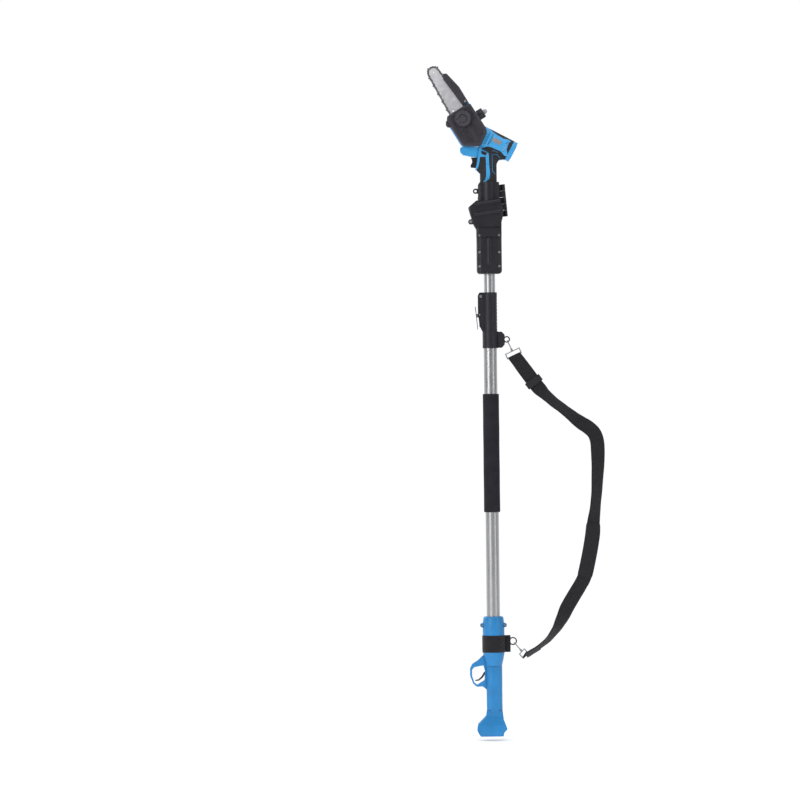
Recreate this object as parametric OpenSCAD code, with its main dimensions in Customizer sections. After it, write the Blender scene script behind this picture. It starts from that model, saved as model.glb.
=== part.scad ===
// Telescoping cordless pole saw.
// Millimetres. +Z runs up the pole, X points along the saw's side view and Y into it.
// The origin is on the pole's axis at the bottom face of the lower handle.
// The saw head's visible side, with the sprocket cover, faces -Y.

/* [Pole] */
// Outside diameter of the lower, outer tube
outer_tube_d = 38; // [36:0.5:40]
// Outside diameter of the upper, inner tube
inner_tube_d = 32; // [30:0.5:32.5]
// Wall of both tubes
tube_wall = 1.5; // [1.2:0.1:1.8]
// Height of the upper end of the outer tube
outer_tube_top = 1148; // [1140:1:1150]
// Height of the lower end of the inner tube, pole retracted
inner_tube_bottom = 380; // [360:5:480]
// Height of the lower end of the foam grip
foam_bottom = 638; // [500:1:700]
// Length of the foam grip
foam_length = 337; // [150:1:360]
// Outside diameter of the foam grip
foam_d = 46.8; // [42:0.2:52]

/* [Heights] */
// Height of the top of the lower handle
handle_top = 341; // [335:1:350]
// Height of the lower face of the pole clamp
clamp_z = 1105; // [1100:1:1110]
// Height of the lower face of the saw adapter, pole retracted
adapter_z = 1317; // [1300:1:1330]

/* [Saw head] */
// Distance from the bar stud to the nose centre of the bar
bar_reach = 156; // [120:1:180]
// Lean of the bar away from the pole's axis
bar_lean = 31.5; // [28:0.5:35]
// Radius of the chain's rivet line round the bar nose
nose_r = 16; // [13:0.5:18]
// Radius of the chain's rivet line at the bar's widest place
shoulder_r = 23.3; // [21:0.1:24]
// Thickness of the guide bar
bar_t = 3.8; // [3:0.1:4.2]
// Rivet spacing of the chain
chain_pitch = 6.35; // [6:0.05:7]
// Down-tilt of the motor housing
motor_tilt = 28; // [26:0.5:30]

/* [Carrying strap] */
// Width of the webbing
strap_w = 40; // [30:1:42]
// Thickness of the webbing
strap_t = 2.4; // [1.6:0.2:3]
// Thickness of the shoulder pad on each side of the webbing
pad_t = 3; // [2:0.5:5]

/* [Hidden] */
$fn = 48;

black = [0.16, 0.15, 0.19];
sky_blue = [0.30, 0.69, 0.94];
deep_blue = [0.19, 0.56, 0.82];
steel = [0.75, 0.76, 0.78];
slide_fit = 0.06;
turn_fit = 0.05;
gap = 0.3;
far = 400;

// ---- Tubes and pole
outer_r = outer_tube_d / 2;
inner_r = inner_tube_d / 2;
outer_bore = outer_r - tube_wall;
inner_bore = inner_r - tube_wall;
tube_seat = 196;
bush_len = 26;
bush_flange = 3;
inner_tube_top = adapter_z + 115;
coil_r = 12;

// ---- Clamp, in a frame at its own lower face
clamp_h = 159;
collar_h = 48;
lever_x = -25.9;
lever_z = 148;
stop_pin = [-29.5, 95.7];
eye_x = 47;
eye_z = 24.8;
eye_out = 9.5;
eye_in = 6;

// ---- Adapter, in a frame at its own lower face
adapter_half_y = 27;
band_half_y = 33;
collar_half_y = 23;
door_z = 131;
foot_z = 161;
hinge_low = [49.5, 163];
hinge_high = [41.5, 255];
hinge_tilt = atan2(hinge_low.x - hinge_high.x, hinge_high.y - hinge_low.y);
hinge_len = norm(hinge_high - hinge_low);
knuckle_r = 5;
knuckles = 5;
hinge_pin_r = 2;
lug_ring = [-37, 236];
lug_screw = [-51.5, 148.7];
adapter_screw_z = [21, 61, 109];
adapter_screw_x = 28;
rib_r = 11;
rib_depth = 20;
rib_ends = [33, 97];
collar_round_r = 22;
collar_round_y = -9;
rim_starts = [[-42, 197], [-42, 167]];
rim_slope = 8;
rim_len = 76;
rim_r = 5;
rim_proud = 3.7;

// ---- Saw, in a frame on the pole's axis at the bottom of its foot
saw_z = adapter_z + foot_z;
foot_h = 36;
stud_x = -71.4;
stud_z = 279.6;
sprocket_drop = 34;
shaft_x = stud_x + sprocket_drop * sin(bar_lean);
shaft_z = stud_z - sprocket_drop * cos(bar_lean);
housing_front = -14;
housing_rear = 20;
cover_front = -40;
bar_y = -19;
barrel_r = 30;
barrel_start = 24;
barrel_end = 142;
barrel_bore = 24;
skin = 1.5;
skin_start = 38;
skin_end = 130;
grip_top = 150;
neck_half = 16;
motor_r = 19;
motor_start = 54;
motor_end = 110;
head_screws = [[-35, 18], [-30, -58], [-8, -78]];

// ---- Chain and bar, in the head frame: x across the bar, z along it
nose_c = [0, bar_reach];
shoulder_c = [0, 24];
sprocket_c = [0, -sprocket_drop];
sprocket_r = 14.1;
nose_angle = asin((shoulder_r - nose_r) / (nose_c.y - shoulder_c.y));
tail_angle = asin((shoulder_r - sprocket_r) / (shoulder_c.y - sprocket_c.y));
link_half = 3;
bar_edge = 3.3;
link_t = 1.3;
strap_link_t = 1.1;
rivet_r = 1.3;
rivet_play = 0.09;

// ---- Outlines
handle_barrel = [[0, 200], [23, 200], [27, 216], [31, 238], [31, 320, 4],
    [28, handle_top, 5], [0, handle_top]];
handle_base_side = [[-22, 72], [-24, 58, 6], [-47, 34, 8], [-49.6, 16, 8], [-40, 0, 5],
    [25, 0, 2], [27, 11, 2], [36.4, 21, 3], [26, 48, 8], [23.5, 72]];
handle_base_front = [[-19, 72], [-19.5, 56, 8], [-29, 32, 6], [-30, 12, 6], [-27, 0, 3],
    [27, 0, 3], [30, 12, 6], [29, 32, 6], [19.5, 56, 8], [19, 72]];
guard_outer = [[-28, 233], [-46, 216, 10], [-62, 206, 8], [-68.2, 194, 8],
    [-68.2, 172, 12], [-60, 150, 8], [-49.5, 141, 8], [-33, 142, 6], [-20, 132],
    [-14, 150], [-14, 225]];
guard_inner = [[-30, 202, 3], [-56, 197, 6], [-62.4, 190, 6], [-62.6, 172, 10],
    [-56, 153, 6], [-48.5, 146.5, 4], [-27, 160, 4], [-26, 186, 6]];
handle_trigger_blade = [[-22, 187], [-29, 182, 6], [-36, 170, 10], [-44.5, 162, 6],
    [-54, 160.2, 1.2], [-54, 157.2, 1.2], [-43, 158.2, 6], [-33, 166, 10],
    [-25, 177, 4], [-18, 180]];

clamp_box_side = [[-8, 48], [-22.5, 48, 4], [-28.7, 62, 6], [-34, 98, 6], [-34, 150, 6],
    [-30, 159, 4], [-8, 159]];
strap_lug_side = [[14, 1], [33, 1, 3], [41.3, 10, 3], [41.3, 38, 3], [33, 47, 3], [14, 47]];

adapter_side = [[-36, 0, 9], [35.5, 0, 9], [35.5, 146, 10], [40, 163, 4], [40, 190, 6],
    [31, 206, 5], [30, 261, 3], [-25, 261, 3], [-30, 254, 5], [-30, 221, 6],
    [-34.5, 209, 4], [-58.3, 189, 3], [-53, 170, 6], [-45, 143, 8], [-36, 126, 8]];

neck_side = [[-14, 116], [-24, 124, 4], [-34.4, 135, 1], [-38, 136.3, 1], [-35.5, 140, 2],
    [-33, 150.5, 8], [-29.8, 172, 4], [-24, 206], [20, 222], [62, 196], [47, 164, 2],
    [38, 163.5, 6], [30, 162.3, 4], [24, 152, 4], [24, 148], [14, 136]];
trigger_frame = [[-31, 172], [-23.3, 172], [-25.3, 156.4, 8], [-28.3, 144.6, 8], [-34, 134],
    [-40, 134], [-40, 150], [-36, 172]];
finger_guard_side = [[-79.7, 200, 4], [-79.7, 187, 6], [-71.5, 178, 6], [-50, 173.5, 4],
    [-29, 171.6], [-10, 171.6], [-10, 201]];
saw_trigger_side = [[-50.8, 170.9, 1.5], [-46.4, 166, 4], [-45.4, 157, 8], [-50.3, 149, 3],
    [-50.3, 142.6, 2], [-37, 140.9, 2], [-30, 141.2, 1], [-29, 148], [-10, 150, 1],
    [-10, 166, 1], [-29, 168], [-29.5, 170.9]];
side_panel = [[-40, 200.4], [-40, 270], [-7, 270], [6, 253], [14.1, 242.8, 5], [27, 233, 6],
    [44.6, 222.4, 5], [58, 220.3, 5], [67, 214.5, 2], [59, 210.5, 4], [52.5, 191, 8],
    [54.5, 177, 3], [50, 171.7, 3], [45, 174.5, 4], [36, 186.5, 5], [20.7, 193, 6],
    [7.7, 199, 5], [-3, 201.3, 6], [-17.5, 196.5, 2],
    [-23, 200.4, 2]];
grip_stripe = [[-36, 171.8], [-36, 199], [-21.8, 199], [-17.2, 193, 2], [-3.1, 185.9, 3],
    [1.6, 182.4, 3], [2.4, 150.5, 8], [4.6, 126, 8], [3.2, 110, 8], [-8, 100.4, 5],
    [-16, 100.4, 1], [-9, 107.6, 4], [-6.2, 118, 8], [-6.8, 171.8]];
neck_lines = [
    [[10.7, 180], [11.5, 180], [12, 131, 8], [20.2, 122.6], [19.6, 122], [11.2, 130, 8]],
    [[11, 188.8], [20, 188.8, 6], [27, 183.4], [26.5, 182.8], [19.8, 188, 6], [11, 188]],
    [[14.4, 179.4], [26, 177.4, 8], [33.8, 168.4], [33.1, 167.9], [25.6, 176.7, 8],
        [14.3, 178.7]]];

cover_hex = [[-34, 29.5, 5], [18.6, 29.5, 6], [41, 26, 3], [42, -58, 8], [38, -68, 5],
    [3, -91.6, 4], [-38.5, -67.4, 4], [-41, -60, 5], [-41, 20, 6]];
cover_face = [[-31, 26.5, 4], [18, 26.5, 5], [37.5, 23.5, 3], [38.5, -57, 7], [35, -65.5, 5],
    [2.6, -87.6, 4], [-35.5, -65, 4], [-37.5, -59, 4], [-37.5, 18, 5]];
cover_room = [[-38, 60], [37.5, 60], [38, -57, 6], [35, -65.5, 4], [2.6, -87.4, 3],
    [-35.5, -64.8, 3], [-38, -58, 4]];
cover_panel = [[-29, 20, 2], [-29, -57, 4], [-25, -63.5, 3], [2.2, -80.8, 3],
    [28, -65, 4], [32, -56, 6], [32, 20, 2]];
bumper_hook = [[-37, 18], [-44.5, 19.5, 3], [-50.3, 10, 3], [-49.4, 3, 2], [-43, -2, 2],
    [-37, -6]];
housing_hex = [[-34, 28.5, 5], [18, 28.5, 6], [40, 25, 3], [41, -58, 8], [37.5, -67.5, 5],
    [3, -91, 4], [-40.5, -68.5, 4], [-43, -60, 5], [-43, 14, 6]];
guard_side = [[20.5, 31.8, 2], [30, 30.8, 3], [39.4, 34.5, 5], [40, 83, 14], [30, 134, 5],
    [21.5, 138.6, 3], [13.2, 124.5, 3]];
guard_slot = [[2, 24], [34.8, 24], [36.4, 82, 12], [27, 129], [23.5, 145], [2, 145]];
tank_side = [[14, 22, 2], [36, 22, 2], [36, -25, 2], [22, -25, 2], [14, -12, 2]];

// Each entry: x, z, y and the turn of the webbing's flat face away from the side view
strap_route = [[72, 1078, 0, 20], [96, 1045, 0, 8], [123, 1008, 0, 0], [137, 990, 0, 6],
    [154, 973, 0, 34], [180, 950, 0, 42], [210, 926, 0, 42], [235, 906, 0, 32],
    [256, 890, 0, 16], [277, 876, 0, 4], [293, 860, 0, 0], [301, 838, 0, 0],
    [303, 810, 0, 6], [303, 768, 0, 22], [299, 702, 0, 36], [294, 648, 0, 38],
    [288, 600, 0, 20], [285, 568, 0, 4], [276, 516, 0, 0], [262, 455, 0, 0],
    [250, 430, 0, 8], [235, 405, 0, 4], [211, 365, 0, 6], [194, 330, 0, 30],
    [176, 298, 0, 52], [150, 268, 0, 64], [120, 245, 0, 78], [100, 233, 0, 90],
    [92.4, 229.8, 0, 92]];
pad_first = 16;
pad_last = 19;
slider_at = 2;

hook_tilt_upper = 24.8;
hook_tilt_lower = 40;
loop_turn_upper = 20;
loop_turn_lower = 65;
eye_mid = (eye_out + eye_in) / 2;
upper_hook_at = [eye_x + eye_mid * sin(hook_tilt_upper),
    clamp_z + eye_z - eye_mid * cos(hook_tilt_upper)];
band_ring = [55, 270];
band_ring_r = 9.8;
lower_hook_at = [band_ring.x + band_ring_r * sin(hook_tilt_lower),
    band_ring.y - band_ring_r * cos(hook_tilt_lower)];
hook_wire = 1.4;
hook_r = 5.4;
hook_leg = 14;
loop_drop = 31;
loop_w = 46;
loop_h = 13;
loop_wire = 1.6;
fold_w = 38;

// ---- Helpers

function unit(v) = v / norm(v);
function flat2(p) = [p.x, p.y];

// Points of a circular arc about c from angle a0 to a1
function arc(c, r, a0, a1, n) =
    [for (i = [0 : n]) let (a = a0 + (a1 - a0) * i / n) c + r * [cos(a), sin(a)]];

// Points that round the corner b between a and c
function fillet(a, b, c, r, n) =
    let (
        u = unit(a - b),
        v = unit(c - b),
        half = acos(max(-1, min(1, u * v))) / 2,
        reach = min(r / tan(half), 0.48 * min(norm(a - b), norm(c - b))),
        rr = reach * tan(half),
        centre = b + unit(u + v) * rr / sin(half),
        from = b + u * reach - centre,
        to = b + v * reach - centre,
        a0 = atan2(from.y, from.x),
        turn = atan2(to.y, to.x) - a0,
        sweep = turn > 180 ? turn - 360 : turn < -180 ? turn + 360 : turn
    )
    arc(centre, rr, a0, a0 + sweep, n);

// An outline whose points [x, y, r] become corners of radius r, sharp when r is left out
function rounded(points, n = 4) =
    let (count = len(points))
    [for (i = [0 : count - 1])
        let (
            a = flat2(points[(i + count - 1) % count]),
            b = points[i],
            c = flat2(points[(i + 1) % count])
        )
        each (is_undef(b[2]) ? [flat2(b)] : fillet(a, flat2(b), c, b[2], n))];

// Corners of an upright rectangle with one radius
function rect(x0, x1, y0, y1, r) = [[x0, y0, r], [x1, y0, r], [x1, y1, r], [x0, y1, r]];

// A side-view outline, X right and Z up, extruded from y0 to y1
module plate(points, y0, y1, n = 4) {
    translate([0, y1, 0])
        rotate([90, 0, 0])
            linear_extrude(y1 - y0) polygon(rounded(points, n));
}

// A plan-view outline, X and Y, extruded from z0 to z1
module column(points, z0, z1, n = 6) {
    translate([0, 0, z0]) linear_extrude(z1 - z0) polygon(rounded(points, n));
}

module box(x0, x1, y0, y1, z0, z1) {
    translate([x0, y0, z0]) cube([x1 - x0, y1 - y0, z1 - z0]);
}

module rod_x(y, z, r, x0, x1) {
    translate([x0, y, z]) rotate([0, 90, 0]) cylinder(r = r, h = x1 - x0);
}

module rod_y(x, z, r, y0, y1) {
    translate([x, y0, z]) rotate([-90, 0, 0]) cylinder(r = r, h = y1 - y0);
}

module rod_z(x, y, r, z0, z1) {
    translate([x, y, z0]) cylinder(r = r, h = z1 - z0);
}

module pipe(r_out, r_in, z0, z1) {
    difference() {
        rod_z(0, 0, r_out, z0, z1);
        rod_z(0, 0, r_in, z0 - 1, z1 + 1);
    }
}

// Everything on the -Y side of y = 0, or on the +Y side
module front_half() {
    box(-far, far, -far, 0, -far, 2 * far);
}

module rear_half() {
    box(-far, far, 0, far, -far, 2 * far);
}

module at_clamp() {
    translate([0, 0, clamp_z]) children();
}

module at_adapter() {
    translate([0, 0, adapter_z]) children();
}

module at_saw() {
    translate([0, 0, saw_z]) children();
}

// Head frame, on the bar stud: x across the bar, z towards the nose
module head_frame() {
    translate([stud_x, 0, stud_z]) rotate([0, -bar_lean, 0]) children();
}

module at_head() {
    at_saw() head_frame() children();
}

// Motor frame, on the sprocket shaft: x along the motor towards the rear
module motor_frame() {
    translate([shaft_x, 0, shaft_z]) rotate([0, motor_tilt, 0]) children();
}

module at_motor() {
    at_saw() motor_frame() children();
}

// Hinge frame of the adapter's door: z along the hinge
module hinge_frame() {
    translate([hinge_low.x, 0, hinge_low.y]) rotate([0, -hinge_tilt, 0]) children();
}

// ---- Pole

module outer_tube() {
    color(steel) pipe(outer_r, outer_bore, tube_seat, outer_tube_top);
}

module tube_guide_bush() {
    color(black) difference() {
        union() {
            rod_z(0, 0, outer_bore, outer_tube_top - bush_len, outer_tube_top);
            rod_z(0, 0, outer_r, outer_tube_top, outer_tube_top + bush_flange);
        }
        rod_z(0, 0, inner_r + slide_fit, outer_tube_top - far, outer_tube_top + far);
    }
}

module inner_tube() {
    color(steel) pipe(inner_r, inner_bore, inner_tube_bottom, inner_tube_top);
}

module inner_tube_bush() {
    z0 = inner_tube_bottom;
    color(black) {
        pipe(outer_bore - slide_fit, inner_r, z0, z0 + bush_len);
        pipe(outer_bore - slide_fit, inner_bore - 0.5, z0 - 4, z0);
    }
}

// The coiled lead inside both tubes, as one tube of its outside diameter
module power_coil() {
    color(black) pipe(coil_r, coil_r - 4, tube_seat + 4, inner_tube_top - 2);
}

module foam_grip() {
    color(black) pipe(foam_d / 2, outer_r, foam_bottom, foam_bottom + foam_length);
}

// ---- Lower handle

trigger_pivot = [-18, 184];
handle_lug = [32, 316];
handle_boss_screws = [[10, 104], [10, 64]];

module handle_solid() {
    rotate_extrude() polygon(rounded(handle_barrel));
    column(rect(-22, 23.5, -19.5, 19.5, 18), 60, 206, 8);
    intersection() {
        plate(handle_base_side, -30, 30);
        rotate([0, 0, 90]) plate(handle_base_front, -60, 60);
    }
    difference() {
        plate(guard_outer, -6.5, 6.5);
        plate(guard_inner, -7, 7);
    }
    for (side = [-1, 1]) {
        rod_y(side * handle_lug.x, handle_lug.y, 6, -11, 11);
    }
}

module handle_room() {
    rod_z(0, 0, outer_r, tube_seat, handle_top + 1);
    rod_z(0, 0, 6, 180, tube_seat + 1);
    difference() {
        column(rect(-17, 18.5, -15, 15, 13), 22, 187, 8);
        rod_y(trigger_pivot.x, trigger_pivot.y, 5.5, -16, 16);
        for (p = handle_boss_screws) {
            rod_y(p.x, p.y, 4.5, -16, 16);
        }
    }
    box(-36, -10, -4.2, 4.2, 158, 192);
    rod_y(trigger_pivot.x, trigger_pivot.y, 2.5 + turn_fit, -8, 8);
    box(-38, 22, -24, 24, -1, 16);
    box(21, 40, -19, 19, -1, 9);
}

module handle_screw_holes() {
    for (side = [-1, 1]) {
        rod_y(side * handle_lug.x, handle_lug.y, 2, -12, 9);
        rod_y(side * handle_lug.x, handle_lug.y, 3.6, -12, -6);
    }
    for (p = handle_boss_screws) {
        rod_y(p.x, p.y, 1.6, -14, 20);
        rod_y(p.x, p.y, 3.1, 14, 21);
    }
}

module handle_half() {
    color(deep_blue) difference() {
        intersection() {
            handle_solid();
            children();
        }
        handle_room();
        handle_screw_holes();
    }
}

module handle_shell_front() {
    handle_half() front_half();
}

module handle_shell_rear() {
    handle_half() rear_half();
}

module handle_screws() {
    color(steel) {
        for (side = [-1, 1]) {
            rod_y(side * handle_lug.x, handle_lug.y, 2, -6, 9);
            rod_y(side * handle_lug.x, handle_lug.y, 3.4, -8.5, -6);
        }
        for (p = handle_boss_screws) {
            rod_y(p.x, p.y, 1.6, -14, 14);
            rod_y(p.x, p.y, 3, 14, 16.5);
        }
    }
}

// Rails and contact block for a slide-in battery pack, open towards +X
module battery_dock() {
    color(black) difference() {
        box(-37.8, 21.8, -23.8, 23.8, 0.6, 15.8);
        box(-30, 30, -16, 16, -1, 5);
        box(-30, 30, -19, 19, 5, 9);
        for (y = [-9, 0, 9]) {
            box(-20, 5, y - 1, y + 1, 8, 13);
        }
    }
}

module handle_switch() {
    color(black) {
        box(-4.5, 13, -8, 8, 150, 178);
        rod_x(0, 171, 2.5, -6.6, -4.5);
    }
}

// Curved blade trigger with moulded pivots and a heel that meets the switch
module handle_trigger() {
    color(black) {
        plate(handle_trigger_blade, -3.5, 3.5);
        rod_y(trigger_pivot.x, trigger_pivot.y, 4.5, -3.8, 3.8);
        rod_y(trigger_pivot.x, trigger_pivot.y, 2.5, -7.6, 7.6);
        plate([[-21, 181], [-14.5, 171, 2], [-11, 172, 2], [-14, 184]], -3.5, 3.5);
    }
}

// ---- Pole clamp

module clamp_housing() {
    color(black) at_clamp() difference() {
        union() {
            rod_z(0, 0, 21.8, 0, collar_h);
            rod_z(0, 0, 20.6, collar_h, clamp_h);
            plate(clamp_box_side, -12, 12);
            plate(strap_lug_side, -6, 6);
        }
        rod_z(0, 0, outer_r, -1, outer_tube_top - clamp_z);
        rod_z(0, 0, outer_r + gap, outer_tube_top - clamp_z - 1, 46.2);
        rod_z(0, 0, inner_r + 4 * slide_fit, 40, clamp_h + 1);
        box(-50, -21, -7.3, 7.3, 54, clamp_h + 10);
        box(-24, -14, -7.3, 7.3, 137, 159.5);
        rod_y(lever_x, lever_z, 2.5, -20, 20);
        rod_y(stop_pin.x, stop_pin.y, 1.75, -20, 20);
        box(28, 45, -2.1, 2.1, 15, 35);
        rod_y(33, eye_z, 2, -10, 10);
        for (i = [0 : 9]) {
            difference() {
                box(4, 25, -25, 25, 56 + 9.6 * i, 57.6 + 9.6 * i);
                rod_z(0, 0, 19.6, 40, clamp_h);
            }
        }
    }
}

// Shoe between the lever's cam and the inner tube
module clamp_jaw() {
    color(black) at_clamp() difference() {
        box(-19.4, -13, -6.8, 6.8, 138, 158.5);
        rod_z(0, 0, inner_r + gap, 130, 170);
    }
}

module clamp_pins() {
    color(steel) at_clamp() {
        rod_y(lever_x, lever_z, 2.5, -12, 12);
        rod_y(lever_x, lever_z, 4, -14, -12);
        rod_y(lever_x, lever_z, 4, 12, 14);
        rod_y(stop_pin.x, stop_pin.y, 1.75, -12.6, -7.6);
        rod_y(stop_pin.x, stop_pin.y, 1.75, 7.6, 12.6);
    }
}

module clamp_lever() {
    color(black) at_clamp() difference() {
        union() {
            rod_y(lever_x, lever_z, 5.6, -6.8, 6.8);
            plate([[-31.8, 148], [-33.2, 100, 6], [-30, 61, 3], [-25.5, 58, 3],
                [-22.6, 100, 10], [-21.4, 148]], -6.8, 6.8);
        }
        rod_y(lever_x, lever_z, 2.5 + turn_fit, -8, 8);
    }
}

// Bright spring-steel finger plate on the lever
module lever_plate() {
    color(steel) at_clamp() {
        plate([[-42.6, 119], [-36, 54, 1], [-34, 54, 1], [-40.4, 119]], -8, 8);
        plate([[-39.5, 98], [-33.3, 98], [-33, 88], [-38.5, 88]], -5, 5);
    }
}

module strap_eye() {
    color(black) at_clamp() {
        difference() {
            union() {
                rod_y(eye_x, eye_z, eye_out, -2, 2);
                box(28.5, 42, -2, 2, eye_z - 7, eye_z + 7);
            }
            rod_y(eye_x, eye_z, eye_in, -3, 3);
        }
        rod_y(33, eye_z, 2, -6.2, 6.2);
    }
}

// ---- Carrying strap

// Band round the handle with a sewn tab and a small loop for the lower hook
module strap_band() {
    color(black) {
        difference() {
            rod_z(0, 0, 33.4, 239, 287);
            rod_z(0, 0, 31.1, 230, 290);
        }
        difference() {
            box(31.6, 46, -3.4, 3.4, 242, 286);
            rod_z(0, 0, 31.1, 230, 290);
        }
        difference() {
            rod_y(band_ring.x, band_ring.y, band_ring_r + 1.4, -2, 2);
            rod_y(band_ring.x, band_ring.y, band_ring_r - 1.4, -3, 3);
        }
    }
}

// A round wire along an arc in the hook's own YZ plane
module wire_arc(z, from, sweep) {
    translate([0, 0, z])
        rotate([90, 0, 90])
            rotate([0, 0, from])
                rotate_extrude(angle = sweep) translate([hook_r, 0]) circle(hook_wire);
}

module hook_frame(at, tilt) {
    translate([at.x, 0, at.y]) rotate([0, -tilt, 0]) children();
}

hook_top_z = 3.6 - hook_r;
hook_low_z = hook_top_z - hook_leg;
gate_top_z = hook_top_z - 0.6;
gate_low_z = hook_low_z + 2.4;

// Wire loop that carries the webbing, turned on the hook's swivel
module strap_loop(turn) {
    z_near = loop_wire - loop_drop;
    z_far = -loop_drop - loop_h;
    rotate([0, 0, turn]) {
        for (z = [z_near, z_far]) {
            rod_x(0, z, loop_wire, -loop_w / 2, loop_w / 2);
        }
        for (x = [-loop_w / 2, loop_w / 2]) {
            rod_z(x, 0, loop_wire, z_far, z_near);
            for (z = [z_near, z_far]) {
                translate([x, 0, z]) sphere(loop_wire);
            }
        }
    }
}

// Snap hook with its swivel barrel
module snap_hook(at, tilt, turn) {
    color(steel) hook_frame(at, tilt) {
        wire_arc(hook_top_z, 0, 180);
        rod_z(0, -hook_r, hook_wire, hook_low_z, hook_top_z);
        wire_arc(hook_low_z, 180, 180);
        rod_z(0, hook_r, hook_wire, hook_low_z, gate_low_z - 2 * gap);
        rod_z(0, 0, 3, hook_low_z - hook_r - 9, hook_low_z - hook_r);
        strap_loop(turn);
    }
}

// Sprung gate that closes the hook, pivoting at its lower end
module hook_gate(at, tilt) {
    color(steel) hook_frame(at, tilt) {
        rod_z(0, hook_r, hook_wire, gate_low_z, gate_top_z);
    }
}

module upper_hook() {
    snap_hook(upper_hook_at, hook_tilt_upper, loop_turn_upper);
}

module lower_hook() {
    snap_hook(lower_hook_at, hook_tilt_lower, loop_turn_lower);
}

module upper_hook_gate() {
    hook_gate(upper_hook_at, hook_tilt_upper);
}

module lower_hook_gate() {
    hook_gate(lower_hook_at, hook_tilt_lower);
}

// Cubic through four neighbours, for a smooth run between the route's points
function blend4(a, b, c, d, t) =
    0.5 * (2 * b + (c - a) * t + (2 * a - 5 * b + 4 * c - d) * t * t
        + (3 * b - a - 3 * c + d) * t * t * t);

route_steps = 3;

function route_at(first, last) =
    [for (i = [first : last - 1], s = [0 : route_steps - 1])
        let (
            n = len(strap_route) - 1,
            a = strap_route[max(i - 1, 0)],
            b = strap_route[i],
            c = strap_route[i + 1],
            d = strap_route[min(i + 2, n)]
        )
        blend4(a, b, c, d, s / route_steps),
    strap_route[last]];

// Corner points of one cross-section: w wide and t thick, turned out of the side view
function strap_ring(p, along, w, t) =
    let (
        across = [-along.y * cos(p[3]), sin(p[3]), along.x * cos(p[3])],
        face = cross([along.x, 0, along.y], across),
        mid = [p.x, p[2], p.y]
    )
    [mid - across * w / 2 - face * t / 2, mid + across * w / 2 - face * t / 2,
        mid + across * w / 2 + face * t / 2, mid - across * w / 2 + face * t / 2];

// A flat strip that follows the route between two of its points
module strap_strip(first, last, w, t) {
    route = route_at(first, last);
    count = len(route);
    rings = [for (i = [0 : count - 1])
        let (
            from = route[max(i - 1, 0)],
            to = route[min(i + 1, count - 1)],
            along = unit([to.x - from.x, to.y - from.y])
        )
        strap_ring(route[i], along, w, t)];
    points = [for (ring = rings) each ring];
    sides = [for (i = [0 : count - 2], k = [0 : 3])
        let (a = 4 * i + k, b = 4 * i + (k + 1) % 4)
        each [[a, b, b + 4], [a, b + 4, a + 4]]];
    end = 4 * (count - 1);
    caps = [[2, 1, 0], [3, 2, 0], [end, end + 1, end + 2], [end, end + 2, end + 3]];
    polyhedron(points, concat([for (f = sides) [f.z, f.y, f.x]],
        [for (f = caps) [f.z, f.y, f.x]]));
}

// Fold of webbing round the far bar of a hook's wire loop
module strap_fold() {
    rod_x(0, -loop_drop - loop_h, loop_wire + strap_t, -fold_w / 2, fold_w / 2);
}

// The webbing's ends, cut back clear of the loop they fold round
module strap_fold_room() {
    top = loop_wire + strap_t - loop_drop - loop_h;
    rod_x(0, -loop_drop - loop_h, loop_wire, -loop_w, loop_w);
    box(-loop_w, loop_w, -loop_w, loop_w, top, loop_w);
    box(-loop_w, 1 - loop_w / 2, -loop_w, loop_w, top - 2 * strap_t - 2 * loop_wire, loop_w);
}

module at_strap_ends() {
    hook_frame(upper_hook_at, hook_tilt_upper) rotate([0, 0, loop_turn_upper]) children();
    hook_frame(lower_hook_at, hook_tilt_lower) rotate([0, 0, loop_turn_lower]) children();
}

module strap_webbing() {
    color(black) difference() {
        union() {
            strap_strip(0, len(strap_route) - 1, strap_w, strap_t);
            at_strap_ends() strap_fold();
        }
        at_strap_ends() strap_fold_room();
    }
}

module strap_slider() {
    p = strap_route[slider_at];
    tilt = 54;
    color(black) translate([p.x, 0, p.y]) rotate([0, tilt, 0]) difference() {
        box(-10, 10, -3.8, 3.8, -24.5, 24.5);
        box(-11, 11, -2, 2, -21.5, 21.5);
    }
}

module shoulder_pad() {
    color(black) difference() {
        strap_strip(pad_first, pad_last, strap_w + 3, strap_t + 2 * pad_t);
        strap_strip(pad_first - 1, pad_last + 1, strap_w + 0.4, strap_t + 0.3);
    }
}

// ---- Saw adapter

module adapter_solid() {
    intersection() {
        plate(adapter_side, -band_half_y, band_half_y);
        union() {
            column(rect(-36, 36, -adapter_half_y, adapter_half_y, 14), -1, 134, 8);
            column(rect(-60, 42, -band_half_y, band_half_y, 9), 134, 208, 6);
            column(rect(-31, 31, -collar_half_y, collar_half_y, 9), 206, 262, 6);
            column(rect(-42, 39, -30, 30, 14), 105, 134, 8);
            rod_z(0, collar_round_y, collar_round_r, 206, 262);
        }
    }
    rod_z(0, -rib_depth, rib_r, rib_ends[0], rib_ends[1]);
    for (z = rib_ends) {
        translate([0, -rib_depth, z]) sphere(rib_r);
    }
    for (start = rim_starts) {
        translate([start.x, rim_r - rim_proud - band_half_y, start.y])
            rotate([0, 90 - rim_slope, 0]) cylinder(r = rim_r, h = rim_len);
    }
    for (lug = [lug_ring, lug_screw]) {
        rod_y(lug.x, lug.y, 7.4, -5.5, 5.5);
        box(lug.x, lug.x + 10, -5.5, 5.5, lug.y - 7, lug.y + 7);
    }
}

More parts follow.
